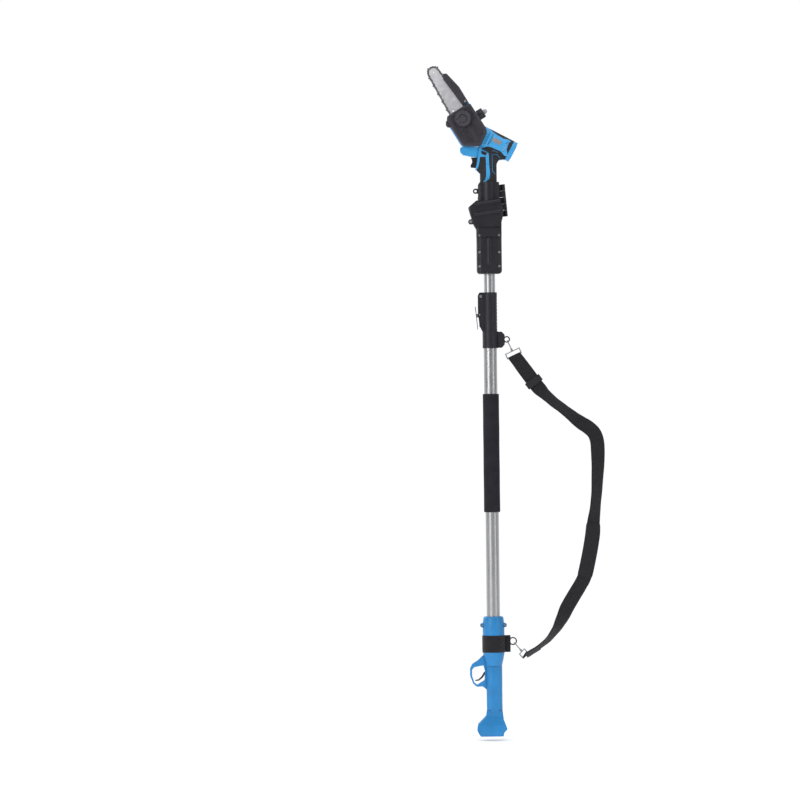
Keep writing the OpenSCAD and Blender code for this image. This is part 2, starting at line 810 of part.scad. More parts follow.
module adapter_room() {
    rod_z(0, 0, inner_r, -1, 115);
    column(rect(-20, 20, -16, 16, 4), 114.9, foot_z, 4);
    column(rect(-50, 35, -30, 30, 8), foot_z, foot_z + foot_h + 2, 4);
    column(rect(-25, 25, -18, 18, 14), foot_z + foot_h, 263, 8);
    rod_y(lug_ring.x, lug_ring.y, 3.6, -20, 20);
    for (x = [-1, 1], z = adapter_screw_z) {
        rod_y(x * adapter_screw_x, z, 1.7, -40, 16);
        rod_y(x * adapter_screw_x, z, 3.6, -40, -22);
    }
}

// Knuckles of one hinge leaf, with the strips that tie them to its shell
module hinge_knuckles(odd, y0, y1) {
    step = hinge_len / knuckles;
    hinge_frame() for (i = [0 : knuckles - 1]) {
        if (i % 2 == odd) {
            rod_z(0, 0, knuckle_r, i * step + gap, (i + 1) * step - gap);
            box(-22, 0, y0, y1, i * step + gap, (i + 1) * step - gap);
        }
    }
}

module hinge_bore(r) {
    hinge_frame() rod_z(0, 0, r, -5, hinge_len + 5);
}

// Room that one leaf leaves for the other leaf's knuckles
module knuckle_room(odd) {
    step = hinge_len / knuckles;
    hinge_frame() for (i = [0 : knuckles - 1]) {
        if (i % 2 == odd) {
            rod_z(0, 0, knuckle_r + 2 * gap, i * step - gap, (i + 1) * step + gap);
        }
    }
}

module adapter_rear_shell() {
    color(black) at_adapter() difference() {
        union() {
            intersection() {
                adapter_solid();
                rear_half();
            }
            hinge_knuckles(0, 0, knuckle_r);
        }
        adapter_room();
        knuckle_room(1);
        hinge_bore(hinge_pin_r);
        rod_y(lug_screw.x, lug_screw.y, 1.7, -1, 20);
    }
}

module adapter_front_shell() {
    color(black) at_adapter() difference() {
        intersection() {
            adapter_solid();
            front_half();
            box(-far, far, -far, far, -far, door_z - gap);
        }
        adapter_room();
    }
}

module adapter_door() {
    color(black) at_adapter() difference() {
        union() {
            intersection() {
                adapter_solid();
                box(-far, far, -far, -gap, door_z + gap, far);
            }
            hinge_knuckles(1, -knuckle_r, -gap);
        }
        adapter_room();
        knuckle_room(0);
        hinge_bore(hinge_pin_r + turn_fit);
        rod_y(lug_screw.x, lug_screw.y, 2, -20, 20);
        plate([[-36, 176, 5], [-36, 190, 5], [22, 197, 5], [26, 187, 4], [0, 180, 20]],
            -band_half_y - 6, -band_half_y + 1.4);
    }
}

module adapter_hinge_pin() {
    color(steel) at_adapter() hinge_frame() rod_z(0, 0, hinge_pin_r, 0, hinge_len);
}

module adapter_screws() {
    color(steel) at_adapter() for (x = [-1, 1], z = adapter_screw_z) {
        rod_y(x * adapter_screw_x, z, 1.7, -22, 16);
        rod_y(x * adapter_screw_x, z, 3.4, -24.5, -22);
    }
}

// Captive screw of the door, drawn backed out of the rear shell
module door_screw() {
    color(steel) at_adapter() {
        rod_y(lug_screw.x, lug_screw.y, 2, -5.5, -0.5);
        rod_y(lug_screw.x, lug_screw.y, 4.2, -8.5, -5.5);
    }
}

module terminal_block() {
    color(black) at_adapter() {
        box(-18, 18, -14, 14, 116, 152);
        for (y = [-8, 0, 8]) {
            box(-6, 6, y - 1, y + 1, 152, 158);
        }
    }
}

// ---- Saw body

// Grip of the saw, shrunk evenly by inset
module grip_column(inset, z0, z1) {
    column(rect(-24 + inset, 24 - inset, -17 + inset, 17 - inset, 14 - inset), z0, z1, 8);
}

module saw_foot() {
    difference() {
        column(rect(-48, 33, -28, 28, 8), 4 * gap, foot_h, 4);
        box(-60, 40, -20, 20, 0, 5);
    }
}

module barrel(r, x0, x1) {
    motor_frame() rod_x(0, 0, r, x0, x1);
}

module neck(half) {
    plate(neck_side, -half, half);
}

// Outer shape of the grip, neck and barrel where the soft skin covers them
module skin_envelope() {
    grip_column(0, 52, grip_top);
    neck(neck_half);
    barrel(barrel_r, skin_start, skin_end);
}

// The blue areas that come up through the soft skin
module skin_windows() {
    for (outline = concat([grip_stripe, trigger_frame, side_panel], neck_lines)) {
        plate(outline, -60, 60);
    }
}

// The blue structure, low enough all round the grip, neck and barrel for the soft skin
module saw_core() {
    saw_foot();
    grip_column(0, foot_h - 1, 52);
    grip_column(skin, 51, grip_top);
    neck(neck_half - skin);
    plate(finger_guard_side, -12, 12);
    barrel(barrel_r - skin, barrel_start, barrel_end - 1);
    barrel(barrel_r, barrel_start, skin_start);
    barrel(barrel_r, skin_end, barrel_end);
    head_frame() {
        plate(housing_hex, housing_front, housing_rear);
        plate([[24, 18], [40, 18], [40, 40, 4], [33, 46, 4], [27, 40, 4]], -11.4, -7.4);
    }
}

module saw_solid() {
    saw_core();
    intersection() {
        skin_envelope();
        skin_windows();
    }
}

module barrel_room() {
    difference() {
        barrel(barrel_bore, motor_start, 128);
        for (x = [62, 100]) {
            barrel(barrel_bore + 1, x, x + 3);
        }
    }
    barrel(motor_r, motor_start, motor_end);
    motor_frame() box(10, motor_start + 1, -8.5, 8.5, -8.5, 8.5);
    barrel(21, 133, barrel_end + 1);
}

// Slit vents through the housing's sides, in two rows ahead of the motor and one behind
module vents() {
    motor_frame() for (row = [[56, -16, 17], [66, -16, 17], [112, -12, 17]]) {
        for (z = [row[1] : 4 : row[2]]) {
            box(row[0], row[0] + 5, -40, 40, z, z + 1.6);
        }
    }
}

module saw_room() {
    barrel_room();
    vents();
    rod_y(shaft_x, shaft_z, 19.5, -9, 8.6);
    rod_y(shaft_x, shaft_z, 8, housing_front - 1, -8.9);
    rod_y(shaft_x, shaft_z, 8, 8.5, 14);
    head_frame() {
        plate(tank_side, -11, 15);
        rod_x(2, -14, 9, 35, 60);
        rod_y(0, 0, 4, housing_front - 1, 5);
        rod_y(33, 39, 2.5, -20, -7);
    }
    grip_column(6, 42, 132);
    box(-60, -4, -6.4, 6.4, 140.6, 171.2);
    box(-4.1, 16, -8.2, 8.2, 138, 172);
    plate([[-20.2, 190], [-2.2, 183], [-5, 175.6], [-18.4, 180.2]], -30, 30);
}

module saw_screw_list() {
    for (p = [[14, 60], [14, 118], [20, 178], [-64, 186]]) {
        translate([p.x, 0, p.y]) children();
    }
    head_frame() for (p = head_screws) {
        translate([p.x, 0, p.y]) children();
    }
}

module saw_screw_hole() {
    rod_y(0, 0, 1.6, -9, 30);
    rod_y(0, 0, 3.1, 9, 40);
}

module saw_half() {
    color(sky_blue) at_saw() difference() {
        intersection() {
            saw_solid();
            children();
        }
        saw_room();
        saw_screw_list() saw_screw_hole();
    }
}

module saw_shell_front() {
    saw_half() front_half();
}

module saw_shell_rear() {
    saw_half() rear_half();
}

module soft_overmould() {
    color(black) at_saw() difference() {
        skin_envelope();
        skin_windows();
        saw_core();
        saw_room();
        saw_screw_list() saw_screw_hole();
    }
}

module saw_screws() {
    color(steel) at_saw() saw_screw_list() {
        rod_y(0, 0, 1.6, -9, 9);
        rod_y(0, 0, 3, 9, 11.5);
    }
}

module rear_cap() {
    color(sky_blue) at_motor() rod_x(0, 0, 21, 133, barrel_end + 1);
}

module motor() {
    color(steel) at_motor() {
        rod_x(0, 0, motor_r, motor_start, motor_end);
        rod_x(0, 0, 6, 31, motor_start);
    }
}

module saw_switch() {
    color(black) at_saw() {
        box(-1.6, 16, -8, 8, 140, 170);
        rod_x(0, 158, 2.4, -2.6, -1.6);
    }
}

module saw_trigger() {
    color(black) at_saw() plate(saw_trigger_side, -5.8, 5.8);
}

// Cross button that blocks the trigger until it is pushed
module lock_off_button() {
    color(black) at_saw()
        plate([[-19.6, 189.3, 1], [-3, 182.6, 1], [-5.3, 176.4, 1], [-18, 180.6, 1]], -19.5, 15.8);
}

// ---- Drive

module shaft_bearings() {
    color(steel) at_saw() for (y = [[-13.6, -9], [9, 13.6]]) {
        difference() {
            rod_y(shaft_x, shaft_z, 8, y[0], y[1]);
            rod_y(shaft_x, shaft_z, 4 + turn_fit, y[0] - 1, y[1] + 1);
        }
    }
}

// Rim sprocket on its shaft: a toothed core between two rims
module drive_sprocket() {
    core_r = 7.4;
    color(steel) at_saw() {
        rod_y(shaft_x, shaft_z, 4, -23.6, 14);
        rod_y(shaft_x, shaft_z, core_r - 1.4, bar_y - 3, bar_y + 3);
        for (y = [bar_y - 3.6, bar_y + 2.2]) {
            rod_y(shaft_x, shaft_z, 10.4, y, y + 1.4);
        }
        translate([shaft_x, 0, shaft_z]) for (i = [0 : 6]) {
            rotate([0, i * 360 / 7, 0]) box(0, core_r, bar_y - 2.4, bar_y + 2.4, -1.2, 1.2);
        }
    }
}

// Crown gear pressed on the sprocket shaft
module bevel_gear() {
    teeth = 30;
    color(steel) at_saw() translate([shaft_x, 0, shaft_z]) difference() {
        union() {
            rod_y(0, 0, 17, -8.7, -5.6);
            for (i = [0 : teeth - 1]) {
                rotate([0, i * 360 / teeth, 0]) box(11, 16.6, -5.8, -4.6, -0.7, 0.7);
            }
        }
        rod_y(0, 0, 4, -10, 0);
    }
}

module motor_pinion() {
    color(steel) at_motor() {
        translate([11, 0, 0]) rotate([0, 90, 0]) cylinder(r1 = 2.7, r2 = 4.1, h = 6.5);
        rod_x(0, 0, 2, 17, 30.6);
    }
}

// ---- Guide bar and chain

// The closed rivet line of the chain, moved inwards by inset
function chain_loop(inset, n = 10) = concat(
    arc(sprocket_c, sprocket_r - inset, 180 + tail_angle, 360 - tail_angle, n),
    arc(shoulder_c, shoulder_r - inset, -tail_angle, nose_angle, 2),
    arc(nose_c, nose_r - inset, nose_angle, 180 - nose_angle, n + 4),
    arc(shoulder_c, shoulder_r - inset, 180 - nose_angle, 180 + tail_angle, 2));

// Outline of the bar, inset from the rivet line, ending in a square tail
function bar_outline(inset) = concat(
    [[-15.6 + inset / 2, -13], [15.6 - inset / 2, -13]],
    arc(shoulder_c, shoulder_r - inset, -tail_angle, nose_angle, 3),
    arc(nose_c, nose_r - inset, nose_angle, 180 - nose_angle, 24),
    arc(shoulder_c, shoulder_r - inset, 180 - nose_angle, 180 + tail_angle, 3));

loop_points = chain_loop(0);
loop_count = len(loop_points);
function step_length(i) = norm(loop_points[(i + 1) % loop_count] - loop_points[i]);
function running(i) = i == 0 ? [0] : let (r = running(i - 1)) concat(r, [r[i - 1] + step_length(i - 1)]);
loop_lengths = running(loop_count);
loop_total = loop_lengths[loop_count];
rivets = 2 * round(loop_total / chain_pitch / 2);

// Place on the rivet line at distance s from its start
function on_loop(s) =
    let (
        d = s % loop_total,
        i = max([for (k = [0 : loop_count - 1]) if (loop_lengths[k] <= d) k]),
        a = loop_points[i],
        b = loop_points[(i + 1) % loop_count]
    )
    a + (b - a) * (d - loop_lengths[i]) / step_length(i);
rivet_at = [for (i = [0 : rivets]) on_loop(i * loop_total / rivets)];

// Puts a link's own frame on rivet i: x towards the next rivet, z inwards
module on_rivet(i) {
    a = rivet_at[i];
    b = rivet_at[(i + 1) % rivets];
    d = b - a;
    translate([a.x, bar_y, a.y]) rotate([0, -atan2(d.y, d.x), 0]) children();
}

link_len = norm(rivet_at[20] - rivet_at[19]);

module link_plate(y0, y1) {
    rod_y(0, 0, link_half, y0, y1);
    rod_y(link_len, 0, link_half, y0, y1);
    box(0, link_len, y0, y1, -link_half + 0.4, link_half - 0.4);
}

module chain_drive_links() {
    half = link_t / 2;
    color(steel) at_head() for (i = [0 : 2 : rivets - 1]) {
        on_rivet(i) difference() {
            union() {
                link_plate(-half, half);
                plate([[0.6, 2], [link_len - 0.6, 2], [link_len - 2.2, 6, 0.6],
                    [2.2, 6, 0.6]], -half, half, 2);
            }
            for (x = [0, link_len]) {
                rod_y(x, 0, rivet_r + rivet_play, -half - 1, half + 1);
            }
        }
    }
}

// Tie straps with their rivets; the outer strap is left out where a cutter sits
module chain_tie_straps() {
    half = link_t / 2;
    color(steel) at_head() for (i = [1 : 2 : rivets - 1]) {
        cutter_side = (i % 8 == 1) ? -1 : (i % 8 == 5) ? 1 : 0;
        on_rivet(i) {
            if (cutter_side != 1) link_plate(half, half + strap_link_t);
            if (cutter_side != -1) link_plate(-half - strap_link_t, -half);
            for (x = [0, link_len]) {
                rod_y(x, 0, rivet_r, -half - strap_link_t * 1.5, half + strap_link_t * 1.5);
            }
        }
    }
}

// Cutters, left and right in turn, each with a depth gauge and a top plate
module chain_cutters() {
    half = link_t / 2;
    color(steel) at_head() for (i = [1 : 4 : rivets - 1]) {
        side = (i % 8 == 1) ? 1 : -1;
        on_rivet(i) mirror([0, side > 0 ? 1 : 0, 0]) difference() {
            union() {
                link_plate(half, half + strap_link_t);
                plate([[-1.6, 0], [-2.4, -4.8, 0.4], [3, -5.2, 0.4], [3.6, 0]],
                    half, half + strap_link_t, 2);
                plate([[link_len - 1.4, 0], [link_len - 1.6, -4.2, 1], [link_len + 1, -4.2, 1],
                    [link_len + 1.8, 0]], half, half + strap_link_t, 2);
                plate([[-2.5, -4], [-2.4, -4.9], [3, -5.3], [3, -4.3]], -1, half + strap_link_t);
            }
            for (x = [0, link_len]) {
                rod_y(x, 0, rivet_r, -3, 4);
            }
        }
    }
}

module guide_bar() {
    half = bar_t / 2;
    color(steel) at_head() difference() {
        translate([0, bar_y + half, 0]) rotate([90, 0, 0])
            linear_extrude(bar_t) polygon(bar_outline(bar_edge));
        difference() {
            translate([0, bar_y + 0.85, 0]) rotate([90, 0, 0])
                linear_extrude(1.7) polygon(bar_outline(-1));
            translate([0, bar_y + 2, 0]) rotate([90, 0, 0])
                linear_extrude(4) polygon(bar_outline(bar_edge + 4.6));
        }
        plate([[-4.1, -11, 4], [4.1, -11, 4], [4.1, 22, 4], [-4.1, 22, 4]],
            bar_y - 3, bar_y + 3, 8);
        rod_y(0, bar_reach, 1.6, bar_y - 3, bar_y + 3);
        rod_y(-11, 34, 2.5, bar_y - 3, bar_y + 3);
    }
}

module bar_stud() {
    color(steel) at_head() {
        rod_y(0, 0, 4, -46, 5);
        rod_y(0, 0, 7, bar_y + bar_t / 2, housing_front);
    }
}

module sprocket_cover() {
    color(black) difference() {
        at_head() cover_solid();
        at_saw() {
            barrel(barrel_r + gap, barrel_start - gap, barrel_end);
            neck(neck_half + gap);
        }
    }
}

module cover_solid() {
    difference() {
        union() {
            hull() {
                plate(cover_hex, cover_front + 4, cover_front + 5);
                plate(cover_face, cover_front, cover_front + 1);
            }
            plate(cover_hex, cover_front + 4.5, housing_front);
            plate(bumper_hook, -34, housing_front);
            rod_y(0, 0, 25, cover_front - 2, cover_front + 3);
        }
        difference() {
            plate(cover_room, cover_front + 4, housing_front + 1);
            rod_y(0, 0, 9, cover_front, bar_y - bar_t / 2);
            for (p = head_screws) {
                rod_y(p.x, p.y, 5, cover_front, housing_front);
            }
        }
        difference() {
            plate(cover_panel, cover_front - 3, cover_front + 1.4);
            rod_y(0, 0, 25, cover_front - 2, cover_front + 3);
            for (x = [-19, -13, -7, 10, 16, 22]) {
                plate([[x - 1.6, -28, 1.4], [x + 1.6, -28, 1.4],
                    [x + 1.6, -74 + abs(x - 2) * 0.5, 1.4],
                    [x - 1.6, -74 + abs(x - 2) * 0.5, 1.4]], cover_front, cover_front + 3);
            }
        }
        rod_y(0, 0, 4.2, cover_front - 5, 0);
    }
}

// Clamping knob with a keyhole-shaped recess for its fold-out wing
module cover_knob() {
    knob_front = cover_front - 13.4;
    color(black) at_head() difference() {
        rod_y(0, 0, 22.5, knob_front, cover_front - 2.4);
        rod_y(0, 0, 12, knob_front - 1, cover_front - 6.2);
        box(-30, 0, knob_front - 1, cover_front - 6.2, -7.2, 7.2);
        rod_y(0, 0, 4 + turn_fit, knob_front, 0);
        rod_z(-18, cover_front - 9.6, 1.6 + turn_fit, -9, 9);
        for (a = [45 : 90 : 315]) {
            rotate([0, a, 0]) rod_y(23.4, 0, 2.4, knob_front - 1, cover_front);
        }
    }
}

module knob_wing() {
    mid = cover_front - 9.6;
    color(black) at_head() {
        rod_y(0, 0, 10.4, mid - 3, mid + 3);
        box(-18, 0, mid - 3, mid + 3, -6.3, 6.3);
        rod_z(-18, mid, 3, -6.3, 6.3);
        rod_z(-18, mid, 1.6, -8.8, 8.8);
    }
}

module chain_guard() {
    color(black) at_head() difference() {
        plate(guard_side, -25.4, -12);
        plate(guard_slot, -22.6, -15);
        rod_y(33, 39, 2.5 + turn_fit, -30, 0);
        for (z = [72 : 9 : 99]) {
            plate([[22, z], [31, z + 5, 1], [31, z + 7.5, 1], [22, z + 2.5]], -27, -24.6);
        }
    }
}

module guard_pin() {
    color(steel) at_head() {
        rod_y(33, 39, 2.5, -25.4, -7.4);
        rod_y(33, 39, 3.6, -26.8, -25.7);
    }
}

// Hollow oil tank with its filler neck
module oil_tank() {
    color([0.9, 0.9, 0.85]) at_head() difference() {
        union() {
            plate(tank_side, -11, 15);
            rod_x(2, -14, 9, 35, 52);
        }
        plate([[16, 20, 1], [34, 20, 1], [34, -23, 1], [23, -23, 1], [16, -12, 1]], -9, 13);
        rod_x(2, -14, 6.5, 33, 60);
    }
}

module oil_cap() {
    color(black) at_head() difference() {
        union() {
            rod_x(2, -14, 14, 44, 61.5);
            translate([44, 2, -14]) for (a = [0 : 15 : 345]) {
                rotate([a, 0, 0]) box(0, 16, -0.9, 0.9, 13.4, 14.6);
            }
        }
        rod_x(2, -14, 9.35, 40, 53);
        rod_x(2, -14, 7.4, 55.5, 65);
    }
}

// Clear primer bulb that is pressed to send oil to the bar
module primer_bulb() {
    color([0.85, 0.88, 0.9]) at_head() {
        rod_x(2, -14, 7, 60.6, 66);
        translate([66, 2, -14]) sphere(7);
    }
}

outer_tube();
tube_guide_bush();
handle_shell_front();
handle_shell_rear();
handle_screws();
battery_dock();
handle_switch();
foam_grip();
clamp_housing();
clamp_jaw();
clamp_pins();
strap_eye();
strap_band();
upper_hook();
lower_hook();
strap_webbing();
strap_slider();
shoulder_pad();
power_coil();
clamp_lever();
lever_plate();
handle_trigger();
upper_hook_gate();
lower_hook_gate();
inner_tube();
inner_tube_bush();
terminal_block();
adapter_rear_shell();
adapter_front_shell();
adapter_screws();
adapter_hinge_pin();
adapter_door();
door_screw();
saw_shell_front();
saw_shell_rear();
saw_screws();
soft_overmould();
motor();
shaft_bearings();
guide_bar();
chain_drive_links();
chain_tie_straps();
chain_cutters();
bar_stud();
sprocket_cover();
guard_pin();
oil_tank();
rear_cap();
saw_switch();
drive_sprocket();
bevel_gear();
motor_pinion();
cover_knob();
knob_wing();
chain_guard();
oil_cap();
primer_bulb();
saw_trigger();
lock_off_button();
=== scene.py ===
"""Looks of the telescoping pole saw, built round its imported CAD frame.

Units are metres, in the CAD's frame: +Z up the pole, -Y towards the viewer.
"""

import math
from typing import NamedTuple

import bmesh
import bpy
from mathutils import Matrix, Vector


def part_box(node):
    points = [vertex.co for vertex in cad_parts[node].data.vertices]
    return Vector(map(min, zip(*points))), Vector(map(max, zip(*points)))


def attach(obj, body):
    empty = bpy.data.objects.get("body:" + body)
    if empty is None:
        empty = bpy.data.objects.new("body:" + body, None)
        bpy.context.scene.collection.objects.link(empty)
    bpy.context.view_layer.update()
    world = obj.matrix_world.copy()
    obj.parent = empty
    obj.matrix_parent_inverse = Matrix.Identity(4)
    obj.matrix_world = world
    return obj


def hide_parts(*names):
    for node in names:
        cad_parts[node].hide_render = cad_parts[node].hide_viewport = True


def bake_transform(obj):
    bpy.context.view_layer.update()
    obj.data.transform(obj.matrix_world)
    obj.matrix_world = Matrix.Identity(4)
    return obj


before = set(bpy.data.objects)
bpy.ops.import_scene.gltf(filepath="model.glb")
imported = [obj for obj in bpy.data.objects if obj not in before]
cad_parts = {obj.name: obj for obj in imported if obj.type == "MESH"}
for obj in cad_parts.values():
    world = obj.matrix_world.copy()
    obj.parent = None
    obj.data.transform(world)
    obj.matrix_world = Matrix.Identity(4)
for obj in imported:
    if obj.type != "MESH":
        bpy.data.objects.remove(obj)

MM = 0.001

# ---- Camera and studio

CAMERA_DISTANCE = 12.0
VIEW_WIDTH = 2.28
VIEW_CENTRE = (-0.259, 0.9605)
CAMERA_ROLL = math.radians(0.66)
FLOOR_Z = -0.012
FLOOR_HALF = (3.0, 2.6)
FLOOR_GLOW = 0.35
SKY_FRONT, SKY_BACK = 0.30, 1.04
# Where along +Y the sky starts and stops turning white
SKY_FADE = (-0.2, 0.7)
LIGHT_AIM = (0, 0, 0.95)
# Name, place, size and power of each soft box
LIGHTS = (
    ("key", (-3.4, -4.2, 2.6), (2.2, 3.8), 120),
    ("fill", (4.0, -3.4, 1.6), (1.2, 3.4), 30),
    ("top", (0.3, -1.0, 4.6), (2.4, 1.4), 40),
    ("rim", (-2.6, 2.4, 2.8), (1.0, 2.4), 30),
)


def make_camera():
    """A long lens straight in front of the pole."""
    data = bpy.data.cameras.new("camera")
    data.sensor_width = 36
    data.lens = data.sensor_width * CAMERA_DISTANCE / VIEW_WIDTH
    data.clip_end = 100
    camera = bpy.data.objects.new("camera", data)
    camera.location = (VIEW_CENTRE[0], -CAMERA_DISTANCE, VIEW_CENTRE[1])
    camera.rotation_euler = (math.radians(90), CAMERA_ROLL, 0)
    bpy.context.collection.objects.link(camera)
    bpy.context.scene.camera = camera


def make_light(name, location, size, energy):
    """A soft box aimed at the pole's middle."""
    data = bpy.data.lights.new(name, "AREA")
    data.shape = "RECTANGLE"
    data.size, data.size_y = size
    data.energy = energy
    light = bpy.data.objects.new(name, data)
    light.location = location
    aim = Vector(LIGHT_AIM) - Vector(location)
    light.rotation_euler = aim.to_track_quat("-Z", "Y").to_euler()
    bpy.context.collection.objects.link(light)


def make_sky():
    """An even sky that is white behind the pole and grey on the viewer's side."""
    world = bpy.data.worlds.new("sky")
    world.use_nodes = True
    nodes, links = world.node_tree.nodes, world.node_tree.links
    background = nodes["Background"]
    background.inputs["Color"].default_value = (0.97, 0.98, 1, 1)
    split = nodes.new("ShaderNodeSeparateXYZ")
    links.new(nodes.new("ShaderNodeTexCoord").outputs["Generated"], split.inputs["Vector"])
    fade = nodes.new("ShaderNodeMapRange")
    fade.inputs["From Min"].default_value, fade.inputs["From Max"].default_value = SKY_FADE
    fade.inputs["To Min"].default_value = SKY_FRONT
    fade.inputs["To Max"].default_value = SKY_BACK
    links.new(split.outputs["Y"], fade.inputs["Value"])
    links.new(fade.outputs["Result"], background.inputs["Strength"])
    bpy.context.scene.world = world


def make_floor():
    x, y = FLOOR_HALF
    corners = [(-x, -y, FLOOR_Z), (x, -y, FLOOR_Z), (x, y, FLOOR_Z), (-x, y, FLOOR_Z)]
    floor = mesh_object("floor", corners, [(0, 1, 2, 3)])
    graph = Graph("floor_paint")
    graph.set(Roughness=0.9)
    mottle = graph.noise(scale=1.5, detail=2)
    tint = graph.colour(mottle, (0.88, 0.88, 0.88), (0.92, 0.92, 0.92))
    graph.link(tint, graph.bsdf.inputs["Emission Color"])
    graph.set(Emission_Strength=FLOOR_GLOW)
    floor.data.materials.append(graph.material)


def make_studio():
    """Soft boxes over a pale floor, under a plain sky."""
    for light in LIGHTS:
        make_light(*light)
    make_sky()
    make_floor()
    bpy.context.scene.view_settings.view_transform = "Standard"


# ---- Mesh helpers


def mesh_object(name, vertices, faces):
    mesh = bpy.data.meshes.new(name)
    mesh.from_pydata([tuple(v) for v in vertices], [], faces)
    mesh.validate()
    piece = bpy.data.objects.new(name, mesh)
    bpy.context.collection.objects.link(piece)
    return piece


def shade_smooth(piece):
    for polygon in piece.data.polygons:
        polygon.use_smooth = True


def fix_normals(piece):
    mesh = bmesh.new()
    mesh.from_mesh(piece.data)
    bmesh.ops.recalc_face_normals(mesh, faces=mesh.faces)
    mesh.to_mesh(piece.data)
    mesh.free()


def lathe(name, profile, segments=96):
    """Closed turned solid about the Z axis from (radius, z) points."""
    vertices = []
    for r, z in profile:
        for i in range(segments):
            a = 2 * math.pi * i / segments
            vertices.append((r * math.cos(a), r * math.sin(a), z))
    rings = len(profile)
    faces = []
    for k in range(rings):
        low, high = k * segments, (k + 1) % rings * segments
        for i in range(segments):
            j = (i + 1) % segments
            faces.append((low + i, low + j, high + j, high + i))
    piece = mesh_object(name, vertices, faces)
    shade_smooth(piece)
    return piece


def tube(name, path, radius, closed=False, sides=12):
    """A round wire or cable swept along a path of points."""
    vertices, faces = [], []
    count = len(path)
    normal = None
    for i, point in enumerate(path):
        before = path[(i - 1) % count] if closed or i else point
        after = path[(i + 1) % count] if closed or i < count - 1 else point
        along = (after - before).normalized()
        guide = normal or along.orthogonal()
        normal = (guide - along * guide.dot(along)).normalized()
        other = along.cross(normal)
        for k in range(sides):
            angle = 2 * math.pi * k / sides
            vertices.append(point + (normal * math.cos(angle) + other * math.sin(angle)) * radius)
    for i in range(count if closed else count - 1):
        for k in range(sides):
            a, b = i * sides + k, i * sides + (k + 1) % sides
            shift = (i + 1) % count * sides - i * sides
            faces.append((a, b, b + shift, a + shift))
    if not closed:
        faces.append(tuple(reversed(range(sides))))
        faces.append(tuple(range((count - 1) * sides, count * sides)))
    piece = mesh_object(name, vertices, faces)
    shade_smooth(piece)
    fix_normals(piece)
    return piece


class Station(NamedTuple):
    """One cross-section of a ribbon: its middle, its width direction and its outer side."""

    middle: Vector
    across: Vector
    outer: Vector


def ribbon(name, stations, width, thickness, closed=False):
    """A flat band through the stations, with round edges and a UV in metres."""
    steps = 8
    shape = []
    for i in range(steps + 1):
        u = 2 * i / steps - 1
        shape.append((u * width / 2, thickness / 2 * (1 - 0.55 * abs(u) ** 9)))
    loop = [(x, t) for x, t in shape] + [(x, -t) for x, t in reversed(shape)]
    ring = len(loop)
    vertices, lengths, run = [], [], 0.0
    for i, station in enumerate(stations):
        if i:
            run += (station.middle - stations[i - 1].middle).length
        lengths.append(run)
        for x, t in loop:
            vertices.append(station.middle + station.across * x + station.outer * t)
    faces = []
    count = len(stations)
    for i in range(count if closed else count - 1):
        for k in range(ring):
            a, b = i * ring + k, i * ring + (k + 1) % ring
            shift = (i + 1) % count * ring - i * ring
            faces.append((a, a + shift, b + shift, b))
    if not closed:
        faces.append(tuple(range(ring)))
        faces.append(tuple(reversed(range((count - 1) * ring, count * ring))))
    piece = mesh_object(name, vertices, faces)
    uv = piece.data.uv_layers.new(name="metres")
    for corner in piece.data.loops:
        station, k = divmod(corner.vertex_index, ring)
        uv.data[corner.index].uv = (loop[k][0], lengths[station])
    shade_smooth(piece)
    fix_normals(piece)
    return piece, run


# ---- Material helper


